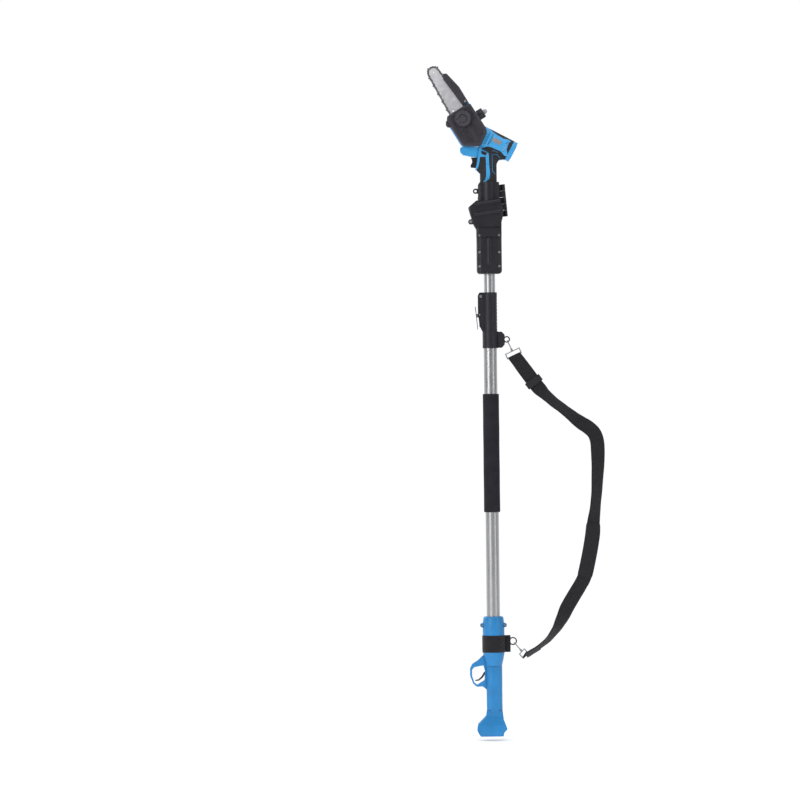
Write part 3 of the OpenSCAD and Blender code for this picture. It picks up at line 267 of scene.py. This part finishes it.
class Graph:
    """A node material under construction, in the object's own coordinates."""

    def __init__(self, name):
        self.material = bpy.data.materials.new(name)
        self.material.use_nodes = True
        self.tree = self.material.node_tree
        self.bsdf = self.tree.nodes["Principled BSDF"]
        self.place = self.add("ShaderNodeTexCoord").outputs["Object"]

    def add(self, kind, **settings):
        node = self.tree.nodes.new(kind)
        for key, value in settings.items():
            setattr(node, key, value)
        return node

    def link(self, source, socket):
        self.tree.links.new(source, socket)

    def set(self, **values):
        for key, value in values.items():
            self.bsdf.inputs[key.replace("_", " ")].default_value = value

    def stretched(self, scale):
        """The object's coordinates scaled unevenly, for grain with a direction."""
        mapping = self.add("ShaderNodeMapping")
        mapping.inputs["Scale"].default_value = scale
        self.link(self.place, mapping.inputs["Vector"])
        return mapping.outputs["Vector"]

    def noise(self, scale, detail=2.0, roughness=0.5, place=None):
        node = self.add("ShaderNodeTexNoise")
        node.inputs["Scale"].default_value = scale
        node.inputs["Detail"].default_value = detail
        node.inputs["Roughness"].default_value = roughness
        self.link(place or self.place, node.inputs["Vector"])
        return node.outputs["Fac"]

    def ramp(self, factor, low, high, start=0.35, end=0.65):
        node = self.add("ShaderNodeValToRGB")
        first, last = node.color_ramp.elements
        first.position, last.position = start, end
        first.color, last.color = (*low, 1), (*high, 1)
        self.link(factor, node.inputs["Fac"])
        return node.outputs["Color"]

    def span(self, factor, low, high, start=0.3, end=0.7):
        node = self.add("ShaderNodeMapRange")
        for socket, value in zip(("From Min", "From Max", "To Min", "To Max"),
                                 (start, end, low, high)):
            node.inputs[socket].default_value = value
        self.link(factor, node.inputs["Value"])
        return node.outputs["Result"]

    def math(self, operation, a, b):
        node = self.add("ShaderNodeMath", operation=operation)
        for socket, value in zip(node.inputs, (a, b)):
            if isinstance(value, (int, float)):
                socket.default_value = value
            else:
                self.link(value, socket)
        return node.outputs["Value"]

    def mix(self, factor, a, b):
        node = self.add("ShaderNodeMix", data_type="RGBA")
        self.link(factor, node.inputs["Factor"])
        for socket, value in ((node.inputs["A"], a), (node.inputs["B"], b)):
            if isinstance(value, tuple):
                socket.default_value = (*value, 1)
            else:
                self.link(value, socket)
        return node.outputs["Result"]

    def colour(self, factor, low, high, start=0.35, end=0.65):
        tint = self.ramp(factor, low, high, start, end)
        self.link(tint, self.bsdf.inputs["Base Color"])
        return tint

    def bump(self, height, depth, strength=1.0, under=None):
        node = self.add("ShaderNodeBump")
        node.inputs["Strength"].default_value = strength
        node.inputs["Distance"].default_value = depth
        self.link(height, node.inputs["Height"])
        if under is not None:
            self.link(under, node.inputs["Normal"])
        self.link(node.outputs["Normal"], self.bsdf.inputs["Normal"])
        return node.outputs["Normal"]

    def painted_hollow_shade(self, reach):
        """A mask for painted shade that is low inside grooves and corners closer together than the
        reach.
        """
        node = self.add("ShaderNodeAmbientOcclusion", samples=6, only_local=True)
        node.inputs["Distance"].default_value = reach
        return self.span(node.outputs["AO"], 0.0, 1.0, 0.45, 0.95)

    def soft_edges(self, radius):
        """A normal rounded over sharp edges, and a mask that is high along them."""
        rounded = self.add("ShaderNodeBevel", samples=4)
        rounded.inputs["Radius"].default_value = radius
        flat = self.add("ShaderNodeNewGeometry")
        dot = self.add("ShaderNodeVectorMath", operation="DOT_PRODUCT")
        self.link(rounded.outputs["Normal"], dot.inputs[0])
        self.link(flat.outputs["Normal"], dot.inputs[1])
        mask = self.span(dot.outputs["Value"], 1.0, 0.0, 0.8, 0.98)
        return rounded.outputs["Normal"], mask


def lighter(colour, amount):
    return tuple(c + (1 - c) * amount for c in colour)


def scaled(colour, factor):
    return tuple(min(1, c * factor) for c in colour)


# ---- Materials


def moulded_plastic(name, colour, roughness, grain=0.03, edge_wear_and_highlight=0.10):
    """Injection-moulded plastic: fine spark-eroded grain, soft edges, faint scuffs along the edges that
    also act as a painted highlight, and painted shade in grooves.
    """
    graph = Graph(name)
    normal, edge = graph.soft_edges(0.5 * MM)
    cloud = graph.noise(scale=22, detail=3)
    base = graph.ramp(cloud, scaled(colour, 0.92), scaled(colour, 1.08))
    scuff = graph.noise(scale=260, detail=4, roughness=0.7)
    # Edges lightened under scuff noise: partly scuffing, partly a painted edge highlight.
    worn_and_lit_edge = graph.math("MULTIPLY", edge, graph.span(scuff, 0.2, 1.0))
    tinted = graph.mix(worn_and_lit_edge, base, lighter(colour, edge_wear_and_highlight))
    # Painted shade: the colour is darkened in grooves and corners.
    shaded = graph.mix(graph.painted_hollow_shade(5 * MM), scaled(colour, 0.3), tinted)
    graph.link(shaded, graph.bsdf.inputs["Base Color"])
    graph.bsdf.inputs["Specular IOR Level"].default_value = 0.4
    patches = graph.noise(scale=70, detail=3)
    graph.link(graph.span(patches, roughness - 0.05, roughness + 0.07),
               graph.bsdf.inputs["Roughness"])
    graph.bump(graph.noise(scale=2600, detail=1), grain * MM, 0.6, normal)
    return graph.material


def brushed_metal(name, colour, roughness, scale, streak=0.02, metallic=1.0):
    """Drawn or ground metal with fine lines along one axis and faint smears."""
    graph = Graph(name)
    graph.set(Metallic=metallic)
    normal, _ = graph.soft_edges(0.25 * MM)
    lines = graph.noise(scale=1.0, detail=4, roughness=0.65, place=graph.stretched(scale))
    smear = graph.noise(scale=14, detail=3)
    blend = graph.math("ADD", graph.math("MULTIPLY", lines, 0.7),
                       graph.math("MULTIPLY", smear, 0.3))
    graph.colour(blend, scaled(colour, 0.84), colour)
    graph.link(graph.span(blend, roughness - 0.07, roughness + 0.12),
               graph.bsdf.inputs["Roughness"])
    graph.bump(lines, streak * MM, 0.5, normal)
    return graph.material


def plated_metal(name, colour, roughness):
    """Zinc or nickel plate with slight clouding and fine scratches."""
    graph = Graph(name)
    graph.set(Metallic=1.0)
    normal, _ = graph.soft_edges(0.2 * MM)
    cloud = graph.noise(scale=120, detail=3)
    graph.colour(cloud, scaled(colour, 0.8), colour)
    graph.link(graph.span(cloud, roughness - 0.06, roughness + 0.1),
               graph.bsdf.inputs["Roughness"])
    scratches = graph.noise(scale=1.0, detail=3, place=graph.stretched((900, 900, 140)))
    graph.bump(scratches, 0.01 * MM, 0.5, normal)
    return graph.material


def foam(name, colour):
    """Closed-cell foam: small open pores, darkened as painted shade, on a matt skin."""
    graph = Graph(name)
    graph.set(Roughness=0.93)
    graph.bsdf.inputs["Specular IOR Level"].default_value = 0.25
    pores = graph.add("ShaderNodeTexVoronoi")
    pores.inputs["Scale"].default_value = 900
    graph.link(graph.place, pores.inputs["Vector"])
    cloud = graph.noise(scale=40, detail=4)
    base = graph.ramp(cloud, scaled(colour, 0.88), scaled(colour, 1.12))
    # Painted shade: the pores are darkened.
    holes = graph.span(pores.outputs["Distance"], 1.0, 0.0, 0.05, 0.35)
    graph.link(graph.mix(holes, base, scaled(colour, 0.45)), graph.bsdf.inputs["Base Color"])
    height = graph.math("ADD", pores.outputs["Distance"], graph.noise(scale=300, detail=3))
    graph.bump(height, 0.25 * MM, 0.55)
    return graph.material


def woven(name, colour, across, along):
    """Webbing: two thread directions over a UV that runs in metres across and along, with painted shade
    in the gaps and a painted highlight on the crowns.
    """
    graph = Graph(name)
    graph.set(Roughness=0.82)
    graph.bsdf.inputs["Sheen Weight"].default_value = 0.10
    graph.bsdf.inputs["Sheen Roughness"].default_value = 0.4
    split = graph.add("ShaderNodeSeparateXYZ")
    graph.link(graph.add("ShaderNodeTexCoord").outputs["UV"], split.inputs["Vector"])
    warp = graph.math("SINE", graph.math("MULTIPLY", split.outputs["X"], across), 0)
    row = graph.math("MULTIPLY", split.outputs["Y"], along)
    shift = graph.math("MULTIPLY", split.outputs["X"], across / 2)
    weft = graph.math("SINE", graph.math("ADD", row, shift), 0)
    weave = graph.math("MULTIPLY", graph.math("ADD", warp, 1.2), graph.math("ADD", weft, 1.2))
    fuzz = graph.noise(scale=2400, detail=2)
    height = graph.math("ADD", weave, graph.math("MULTIPLY", fuzz, 0.8))
    fade = graph.noise(scale=30, detail=3)
    # Painted shade and highlight: darker in the gaps between threads, lighter on their crowns.
    depth = graph.span(weave, 0.0, 1.0, 0.2, 3.6)
    threads = graph.mix(depth, scaled(colour, 0.55), scaled(colour, 1.7))
    graph.link(graph.mix(graph.span(fade, 0.0, 0.35), threads, scaled(colour, 0.5)),
               graph.bsdf.inputs["Base Color"])
    graph.bump(height, 0.16 * MM, 0.7)
    return graph.material


def soft_rubber(name, colour):
    """Overmoulded grip skin: matt with a fine even stipple, and a painted highlight along the edges."""
    graph = Graph(name)
    normal, edge = graph.soft_edges(0.4 * MM)
    cloud = graph.noise(scale=35, detail=3)
    base = graph.ramp(cloud, scaled(colour, 0.85), scaled(colour, 1.2))
    # Painted highlight: the edges are lightened.
    graph.link(graph.mix(edge, base, scaled(colour, 2.2)), graph.bsdf.inputs["Base Color"])
    graph.link(graph.span(cloud, 0.62, 0.78), graph.bsdf.inputs["Roughness"])
    stipple = graph.add("ShaderNodeTexVoronoi")
    stipple.inputs["Scale"].default_value = 1300
    graph.link(graph.place, stipple.inputs["Vector"])
    graph.bump(stipple.outputs["Distance"], 0.06 * MM, 0.6, normal)
    return graph.material


def clear_soft(name):
    graph = Graph(name)
    graph.set(Roughness=0.12, IOR=1.45)
    graph.bsdf.inputs["Transmission Weight"].default_value = 0.3
    haze = graph.noise(scale=60, detail=2)
    graph.colour(haze, (0.46, 0.48, 0.50), (0.60, 0.62, 0.64))
    return graph.material


BLACK = (0.016, 0.0145, 0.021)
SKY = (0.055, 0.40, 0.82)
BLUE = (0.022, 0.235, 0.56)

materials = {
    "black": moulded_plastic("black_plastic", BLACK, 0.46),
    "sky": moulded_plastic("sky_plastic", SKY, 0.36, edge_wear_and_highlight=0.15),
    "blue": moulded_plastic("blue_plastic", BLUE, 0.38, edge_wear_and_highlight=0.15),
    "cover": moulded_plastic("cover_plastic", (0.046, 0.042, 0.052), 0.42),
    "knob": moulded_plastic("knob_plastic", (0.060, 0.057, 0.068), 0.42),
    "badge": moulded_plastic("badge_plastic", (0.30, 0.30, 0.32), 0.35),
    "tank": moulded_plastic("tank_plastic", (0.28, 0.29, 0.30), 0.3),
    "tube": brushed_metal("tube_metal", (0.52, 0.52, 0.53), 0.34, (900, 900, 6)),
    "bar": brushed_metal("bar_metal", (0.86, 0.85, 0.88), 0.42, (60, 900, 60), metallic=0.75),
    "chain": plated_metal("chain_metal", (0.34, 0.34, 0.35), 0.34),
    "screw": plated_metal("screw_metal", (0.66, 0.66, 0.67), 0.30),
    "wire": plated_metal("wire_metal", (0.36, 0.36, 0.37), 0.22),
    "gear": plated_metal("gear_metal", (0.36, 0.36, 0.37), 0.38),
    "foam": foam("grip_foam", (0.021, 0.020, 0.026)),
    "rubber": soft_rubber("grip_rubber", (0.016, 0.016, 0.019)),
    "webbing": woven("webbing_weave", (0.0095, 0.0085, 0.012), 5200, 3400),
    "pad": woven("pad_fabric", (0.0105, 0.0095, 0.013), 3900, 3900),
    "thread": soft_rubber("sewing_thread", (0.022, 0.020, 0.026)),
    "cable": soft_rubber("cable_jacket", (0.014, 0.014, 0.016)),
    "clear": clear_soft("clear_dome"),
}

NODE_MATERIAL = {
    "tube": ("outer_tube", "inner_tube"),
    "blue": ("handle_shell_front", "handle_shell_rear"),
    "sky": ("saw_shell_front", "saw_shell_rear", "rear_cap"),
    "screw": ("adapter_screws", "saw_screws", "clamp_pins", "door_screw",
              "adapter_hinge_pin", "guard_pin", "bar_stud"),
    "wire": ("upper_hook", "lower_hook", "upper_hook_gate", "lower_hook_gate",
             "lever_plate"),
    "bar": ("guide_bar",),
    "chain": ("chain_drive_links", "chain_tie_straps", "chain_cutters"),
    "gear": ("handle_screws", "drive_sprocket", "bevel_gear", "motor_pinion", "motor", "shaft_bearings"),
    "rubber": ("soft_overmould",),
    "cover": ("sprocket_cover", "chain_guard"),
    "knob": ("cover_knob", "knob_wing", "oil_cap"),
    "tank": ("oil_tank",),
    "clear": ("primer_bulb",),
    "foam": ("foam_grip",),
    "webbing": ("strap_webbing", "shoulder_pad", "strap_band"),
    "cable": ("power_coil",),
}


def dress_frame():
    """Gives every CAD node its material; black plastic is what the rest is made of."""
    kind = {node: key for key, nodes in NODE_MATERIAL.items() for node in nodes}
    for node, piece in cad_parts.items():
        material = materials[kind.get(node, "black")]
        for slot in piece.material_slots:
            slot.material = material


# ---- Sewing thread

STITCH_STEP = 2.6 * MM
STITCH_LEN = 2.1 * MM
THREAD_R = 0.28 * MM
# A stitch's rings: place along its half length and share of the thread's radius
STITCH_RINGS = ((-1.0, 0.15), (-0.55, 0.9), (0.55, 0.9), (1.0, 0.15))
STITCH_SIDES = 6


def stitch_rows(name, rows, body):
    """Thread stitches laid as small capsules along rows of (start, end, side) lines."""
    n = STITCH_SIDES
    vertices, faces = [], []
    for start, finish, side in rows:
        line = finish - start
        count = max(2, int(line.length / STITCH_STEP))
        along = line.normalized()
        for i in range(count):
            middle = start + line * ((i + 0.5) / count)
            base = len(vertices)
            for reach, r in STITCH_RINGS:
                for j in range(n):
                    angle = 2 * math.pi * j / n
                    offset = along.cross(side) * math.cos(angle) + side * math.sin(angle)
                    vertices.append(middle + along * (reach * STITCH_LEN / 2)
                                    + offset * (r * THREAD_R))
            for k in range(len(STITCH_RINGS) - 1):
                for j in range(n):
                    a, b = base + n * k + j, base + n * k + (j + 1) % n
                    faces.append((a, b, b + n, a + n))
            faces.append(tuple(range(base + n - 1, base - 1, -1)))
            faces.append(tuple(range(len(vertices) - n, len(vertices))))
    piece = mesh_object(name, vertices, faces)
    shade_smooth(piece)
    fix_normals(piece)
    piece.data.materials.append(materials["thread"])
    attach(piece, body)


# ---- Carrying strap

# Middle of the strap, in millimetres: x, z, and the turn of its flat face from the side view
STRAP_ROUTE = (
    (72, 1078, 20), (96, 1045, 8), (123, 1008, 0), (137, 990, 6), (154, 973, 34),
    (180, 950, 42), (210, 926, 42), (235, 906, 32), (256, 890, 16), (277, 876, 4),
    (293, 860, 0), (301, 838, 0), (303, 810, 6), (303, 768, 22), (299, 702, 36),
    (294, 648, 38), (288, 600, 20), (285, 568, 4), (276, 516, 0), (262, 455, 0),
    (250, 430, 8), (235, 405, 4), (211, 365, 6), (194, 330, 30), (176, 298, 52),
    (150, 268, 64), (120, 245, 68), (100, 233, 66), (92.4, 229.8, 65),
)
SLIDER_POINT = 2.35
# The lower end of the webbing is doubled over this many points of the route
LOWER_DOUBLED = 3.4
PAD_START, PAD_END = 15.9, 19.1
WEBBING_W = 40 * MM
WEBBING_T = 1.5 * MM
LAYER = 1.05 * MM
BAR_DROP = 44 * MM
BAR_WIRE = 1.6 * MM
WRAP_GAP = 0.2 * MM
ROUTE_STEPS = 12
TAIL_STEPS = 28
# Each snap hook's place (x, z), its tilt and its loop's turn on the swivel
UPPER_HOOK = ((50.25, 1122.76), 24.8, 20)
LOWER_HOOK = ((61.3, 262.5), 40, 65)


def strap_point(t):
    """Route values (x, z, turn) at a place along the route, counted in points."""
    i = min(int(t), len(STRAP_ROUTE) - 2)
    last = len(STRAP_ROUTE) - 1
    a, b, c, d = (STRAP_ROUTE[min(max(k, 0), last)] for k in (i - 1, i, i + 1, i + 2))
    f = t - i
    return [0.5 * (2 * q + (r - p) * f + (2 * p - 5 * q + 4 * r - s) * f * f
                   + (3 * q - p - 3 * r + s) * f ** 3)
            for p, q, r, s in zip(a, b, c, d)]


def strap_station(t, lift=0.0):
    """The strap's cross-section there, lifted off the middle towards its outer side."""
    end = len(STRAP_ROUTE) - 1
    x, z, turn = strap_point(t)
    x0, z0, _ = strap_point(max(t - 0.05, 0))
    x1, z1, _ = strap_point(min(t + 0.05, end))
    along = Vector((x1 - x0, 0, z1 - z0)).normalized()
    turn = math.radians(turn)
    across = Vector((-along.z * math.cos(turn), math.sin(turn), along.x * math.cos(turn)))
    outer = along.cross(across)
    sag = 0.5 * MM * math.sin(2.3 * t) + 0.3 * MM * math.sin(5.9 * t)
    middle = Vector((x, 0, z)) * MM + outer * (lift + sag)
    return Station(middle, across, outer)


def loop_bar(hook):
    """Middle and direction of the far bar of a snap hook's wire loop."""
    (x, z), tilt, turn = hook
    tilt, turn = math.radians(tilt), math.radians(turn)
    down = Vector((math.sin(tilt), 0, -math.cos(tilt)))
    bar = Vector((math.cos(turn) * math.cos(tilt), math.sin(turn),
                  math.cos(turn) * math.sin(tilt)))
    return Vector((x, 0, z)) * MM + down * BAR_DROP, bar


def fold_stations(start, middle, bar, radius):
    """Half a turn of webbing round a bar, from the start's outer side to its inner one."""
    if start.across.dot(bar) < 0:
        bar = -bar
    side = (start.outer - bar * start.outer.dot(bar)).normalized()
    reach = middle - start.middle
    away = bar.cross(side)
    if away.dot(reach) < 0:
        away = -away
    found = []
    for i in range(13):
        angle = math.pi * i / 12
        radial = side * math.cos(angle) + away * math.sin(angle)
        found.append(Station(middle + radial * radius, bar, radial))
    return found


def flipped(station):
    return Station(station.middle, station.across, -station.outer)


def webbing_stations():
    """One length: from the slider up round the upper loop, and down round the lower one."""
    end = len(STRAP_ROUTE) - 1
    radius = BAR_WIRE + WEBBING_T / 2 + WRAP_GAP
    tail = [SLIDER_POINT * (1 - i / TAIL_STEPS) for i in range(TAIL_STEPS)]
    stations = [strap_station(t, LAYER) for t in tail]
    stations += fold_stations(strap_station(0.0), *loop_bar(UPPER_HOOK), radius)
    for i in range(1, end * ROUTE_STEPS):
        t = i / ROUTE_STEPS
        doubled = (min(1, max(0, SLIDER_POINT + 0.6 - t))
                   + min(1, max(0, t - end + LOWER_DOUBLED)))
        stations.append(flipped(strap_station(t, -LAYER * doubled)))
    last = flipped(strap_station(float(end)))
    stations += fold_stations(last, *loop_bar(LOWER_HOOK), radius)
    stations += [strap_station(end - 0.1 - i / ROUTE_STEPS, LAYER) for i in range(TAIL_STEPS)]
    return stations


PAD_W = 43 * MM
PAD_EDGE = 1.5 * MM
PAD_CROWN = 2.6 * MM
PAD_CORNER = 9 * MM
PAD_RISE = 4 * MM
SEAM_INSET = 5 * MM
SEAM_HALF = 1.1 * MM
SEAM_DEPTH = 0.8 * MM


def make_pad():
    """Padded sleeve on the webbing: crowned, bound at the edge and stitched inside it."""
    columns, rows = 28, 90
    stations = [strap_station(PAD_START + (PAD_END - PAD_START) * k / rows)
                for k in range(rows + 1)]
    lengths = [0.0]
    for a, b in zip(stations, stations[1:]):
        lengths.append(lengths[-1] + (b.middle - a.middle).length)
    total = lengths[-1]
    vertices, faces, places = [], [], []
    for side in (1, -1):
        for station, s in zip(stations, lengths):
            for c in range(columns + 1):
                u = 2 * c / columns - 1
                edge = min(s, total - s, PAD_W / 2 * (1 - abs(u)))
                corner = 1 - 0.10 * max(0, 1 - min(s, total - s) / PAD_CORNER) ** 2
                rise = 1 - math.exp(-edge / PAD_RISE)
                seam = math.exp(-((edge - SEAM_INSET) / SEAM_HALF) ** 2)
                height = PAD_EDGE + PAD_CROWN * rise - SEAM_DEPTH * seam
                vertices.append(station.middle + station.across * (u * PAD_W / 2 * corner)
                                + station.outer * (side * height))
                places.append((u * PAD_W / 2, s))
    width = columns + 1
    half = width * (rows + 1)
    for k in range(rows):
        for c in range(columns):
            a = k * width + c
            faces.append((a, a + 1, a + width + 1, a + width))
            b = half + a
            faces.append((b, b + width, b + width + 1, b + 1))
    rim = ([c for c in range(columns)] + [k * width + columns for k in range(rows)]
           + [rows * width + c for c in range(columns, 0, -1)]
           + [k * width for k in range(rows, 0, -1)])
    for a, b in zip(rim, rim[1:] + rim[:1]):
        faces.append((b, a, half + a, half + b))
    piece = mesh_object("strap_pad", vertices, faces)
    uv = piece.data.uv_layers.new(name="metres")
    for corner in piece.data.loops:
        uv.data[corner.index].uv = places[corner.vertex_index]
    shade_smooth(piece)
    fix_normals(piece)
    round_off = piece.modifiers.new("round_off", "SUBSURF")
    round_off.levels = round_off.render_levels = 1
    piece.data.materials.append(materials["pad"])
    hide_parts("shoulder_pad")
    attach(piece, "outer")


def box_stitch(t0, t1):
    """Rows of a sewn box with a cross in it, on both sides of the doubled webbing."""
    rows = []
    for side in (1, -1):
        lift = LAYER + WEBBING_T / 2 + 0.1 * MM
        a, b = strap_station(t0, side * lift), strap_station(t1, side * lift)
        inset = WEBBING_W / 2 - 5 * MM
        corners = [a.middle - a.across * inset, a.middle + a.across * inset,
                   b.middle + b.across * inset, b.middle - b.across * inset]
        for i, j in ((0, 1), (1, 2), (2, 3), (3, 0), (0, 2), (1, 3)):
            rows.append((corners[i], corners[j], a.outer))
    return rows


def make_strap():
    piece, length = ribbon("strap_ribbon", webbing_stations(), WEBBING_W, WEBBING_T)
    piece.data.materials.append(materials["webbing"])
    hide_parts("strap_webbing")
    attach(piece, "outer")
    end = len(STRAP_ROUTE) - 1
    stitch_rows("strap_stitches", box_stitch(0.25, 0.9) + box_stitch(end - 2.0, end - 1.0),
                "outer")
    make_pad()


# ---- Band round the handle that carries the lower hook

BAND_R = 31.95 * MM
BAND_LOW, BAND_HIGH = 239 * MM, 287 * MM
BAND_T = 1.5 * MM
TAB_END = 45.2 * MM
TAB_HALF = 2.3 * MM
RING_MIDDLE = (55 * MM, 270 * MM)
RING_R = 9.8 * MM
RING_WIRE = 1.8 * MM


def make_band():
    """A loop of webbing round the handle, closed on itself by a sewn tab with a ring."""
    middle_z = (BAND_LOW + BAND_HIGH) / 2
    first = math.asin(TAB_HALF / BAND_R)
    up = Vector((0, 0, 1))
    stations = []
    turns = 72
    for i in range(turns + 1):
        angle = first + (2 * math.pi - 2 * first) * i / turns
        out = Vector((math.cos(angle), math.sin(angle), 0))
        stations.append(Station(out * BAND_R + up * middle_z, up, out))
    start = BAND_R * math.cos(first)
    tab = [start + (TAB_END - start) * k / 6 for k in range(1, 7)]
    stations += [Station(Vector((x, -TAB_HALF, middle_z)), up, Vector((0, -1, 0))) for x in tab]
    for i in range(1, 8):
        angle = -math.pi / 2 + math.pi * i / 8
        out = Vector((math.cos(angle), math.sin(angle), 0))
        stations.append(Station(Vector((TAB_END, 0, middle_z)) + out * TAB_HALF, up, out))
    stations += [Station(Vector((x, TAB_HALF, middle_z)), up, Vector((0, 1, 0)))
                 for x in reversed(tab)]
    piece, length = ribbon("handle_band", stations, BAND_HIGH - BAND_LOW, BAND_T, closed=True)
    piece.data.materials.append(materials["webbing"])
    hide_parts("strap_band")
    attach(piece, "outer")

    ring = tube("band_ring", [Vector((RING_MIDDLE[0] + RING_R * math.cos(a), 0,
                                      RING_MIDDLE[1] + RING_R * math.sin(a)))
                              for a in (2 * math.pi * i / 48 for i in range(48))],
                RING_WIRE, closed=True)
    ring.data.materials.append(materials["black"])
    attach(ring, "outer")

    rows = []
    for side in (1, -1):
        y = side * (TAB_HALF + BAND_T / 2 + 0.1 * MM)
        for x in (start + 2.2 * MM, start + 5 * MM):
            rows.append((Vector((x, y, BAND_LOW + 3 * MM)), Vector((x, y, BAND_HIGH - 3 * MM)),
                         Vector((0, side, 0))))
    stitch_rows("band_stitches", rows, "outer")


# ---- Foam grip and the coiled lead


FOAM_ROUND = 2.6 * MM
FOAM_SWELL = 0.25 * MM


def make_foam():
    """Foam sleeve on the outer tube, with rounded ends and a faint swell."""
    low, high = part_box("foam_grip")
    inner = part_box("outer_tube")[1][0] + 0.02 * MM
    outer = high[0] - 0.2 * MM
    profile = []
    for i in range(9):
        angle = math.pi / 2 * i / 8
        profile.append((outer - FOAM_ROUND + FOAM_ROUND * math.sin(angle),
                        low[2] + FOAM_ROUND - FOAM_ROUND * math.cos(angle)))
    body = 60
    for i in range(1, body):
        f = i / body
        z = low[2] + FOAM_ROUND + (high[2] - low[2] - 2 * FOAM_ROUND) * f
        profile.append((outer - FOAM_SWELL * math.sin(9 * f) ** 2, z))
    for i in range(9):
        angle = math.pi / 2 * (1 - i / 8)
        profile.append((outer - FOAM_ROUND + FOAM_ROUND * math.sin(angle),
                        high[2] - FOAM_ROUND + FOAM_ROUND * math.cos(angle)))
    profile += [(inner, high[2]), (inner, low[2])]
    piece = lathe("foam_sleeve", profile)
    fix_normals(piece)
    piece.data.materials.append(materials["foam"])
    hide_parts("foam_grip")
    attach(piece, "outer")


COIL_PITCH = 8 * MM
CABLE_R = 1.9 * MM


def make_coil():
    """Coiled lead inside the tubes, at one fixed pitch; the real lead opens out as the pole extends."""
    low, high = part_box("power_coil")
    radius = high[0] - CABLE_R
    turns = (high[2] - low[2] - 2 * CABLE_R) / COIL_PITCH
    steps = int(turns * 16)
    path = []
    for i in range(steps + 1):
        angle = 2 * math.pi * i / 16
        path.append(Vector((radius * math.cos(angle), radius * math.sin(angle),
                            low[2] + CABLE_R + COIL_PITCH * i / 16)))
    piece = tube("coiled_lead", path, CABLE_R, sides=8)
    piece.data.materials.append(materials["cable"])
    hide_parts("power_coil")
    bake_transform(piece)


# ---- Plain grey badge on the saw's barrel

BARREL_TILT = math.radians(28)
BARREL_AXIS = (-53.63 * MM, 1728.61 * MM)
BARREL_R = 30 * MM
BADGE_MIDDLE = (86 * MM, 5.5 * MM)
BADGE_HALF = (14.5 * MM, 6.8 * MM)
BADGE_T = 0.35 * MM


def make_badge():
    """A thin rounded plate that follows the barrel's side."""
    along = Vector((math.cos(BARREL_TILT), 0, -math.sin(BARREL_TILT)))
    up = Vector((math.sin(BARREL_TILT), 0, math.cos(BARREL_TILT)))
    origin = Vector((BARREL_AXIS[0], 0, BARREL_AXIS[1]))
    rings, spokes = 6, 48
    vertices, faces = [], []
    for lift in (BADGE_T, -0.4 * MM):
        for k in range(rings + 1):
            share = k / rings
            drop = 0.2 * MM * share ** 8 if lift > 0 else 0
            for j in range(spokes):
                angle = 2 * math.pi * j / spokes
                c, s = math.cos(angle), math.sin(angle)
                reach = (abs(c) ** 4 + abs(s) ** 4) ** -0.25 * share
                x = BADGE_MIDDLE[0] + BADGE_HALF[0] * reach * c
                z = BADGE_MIDDLE[1] + BADGE_HALF[1] * reach * s
                radius = BARREL_R + lift - drop
                y = -math.sqrt(radius ** 2 - z ** 2)
                vertices.append(origin + along * x + up * z + Vector((0, y, 0)))
    layer = (rings + 1) * spokes
    for base in (0, layer):
        for k in range(rings):
            for j in range(spokes):
                a, b = base + k * spokes + j, base + k * spokes + (j + 1) % spokes
                faces.append((a, b, b + spokes, a + spokes))
    rim = rings * spokes
    for j in range(spokes):
        a, b = rim + j, rim + (j + 1) % spokes
        faces.append((a, b, layer + b, layer + a))
    piece = mesh_object("barrel_badge", vertices, faces)
    shade_smooth(piece)
    fix_normals(piece)
    piece.data.materials.append(materials["badge"])
    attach(piece, "inner")


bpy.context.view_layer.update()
make_camera()
make_studio()
dress_frame()
make_strap()
make_band()
make_foam()
make_coil()
make_badge()
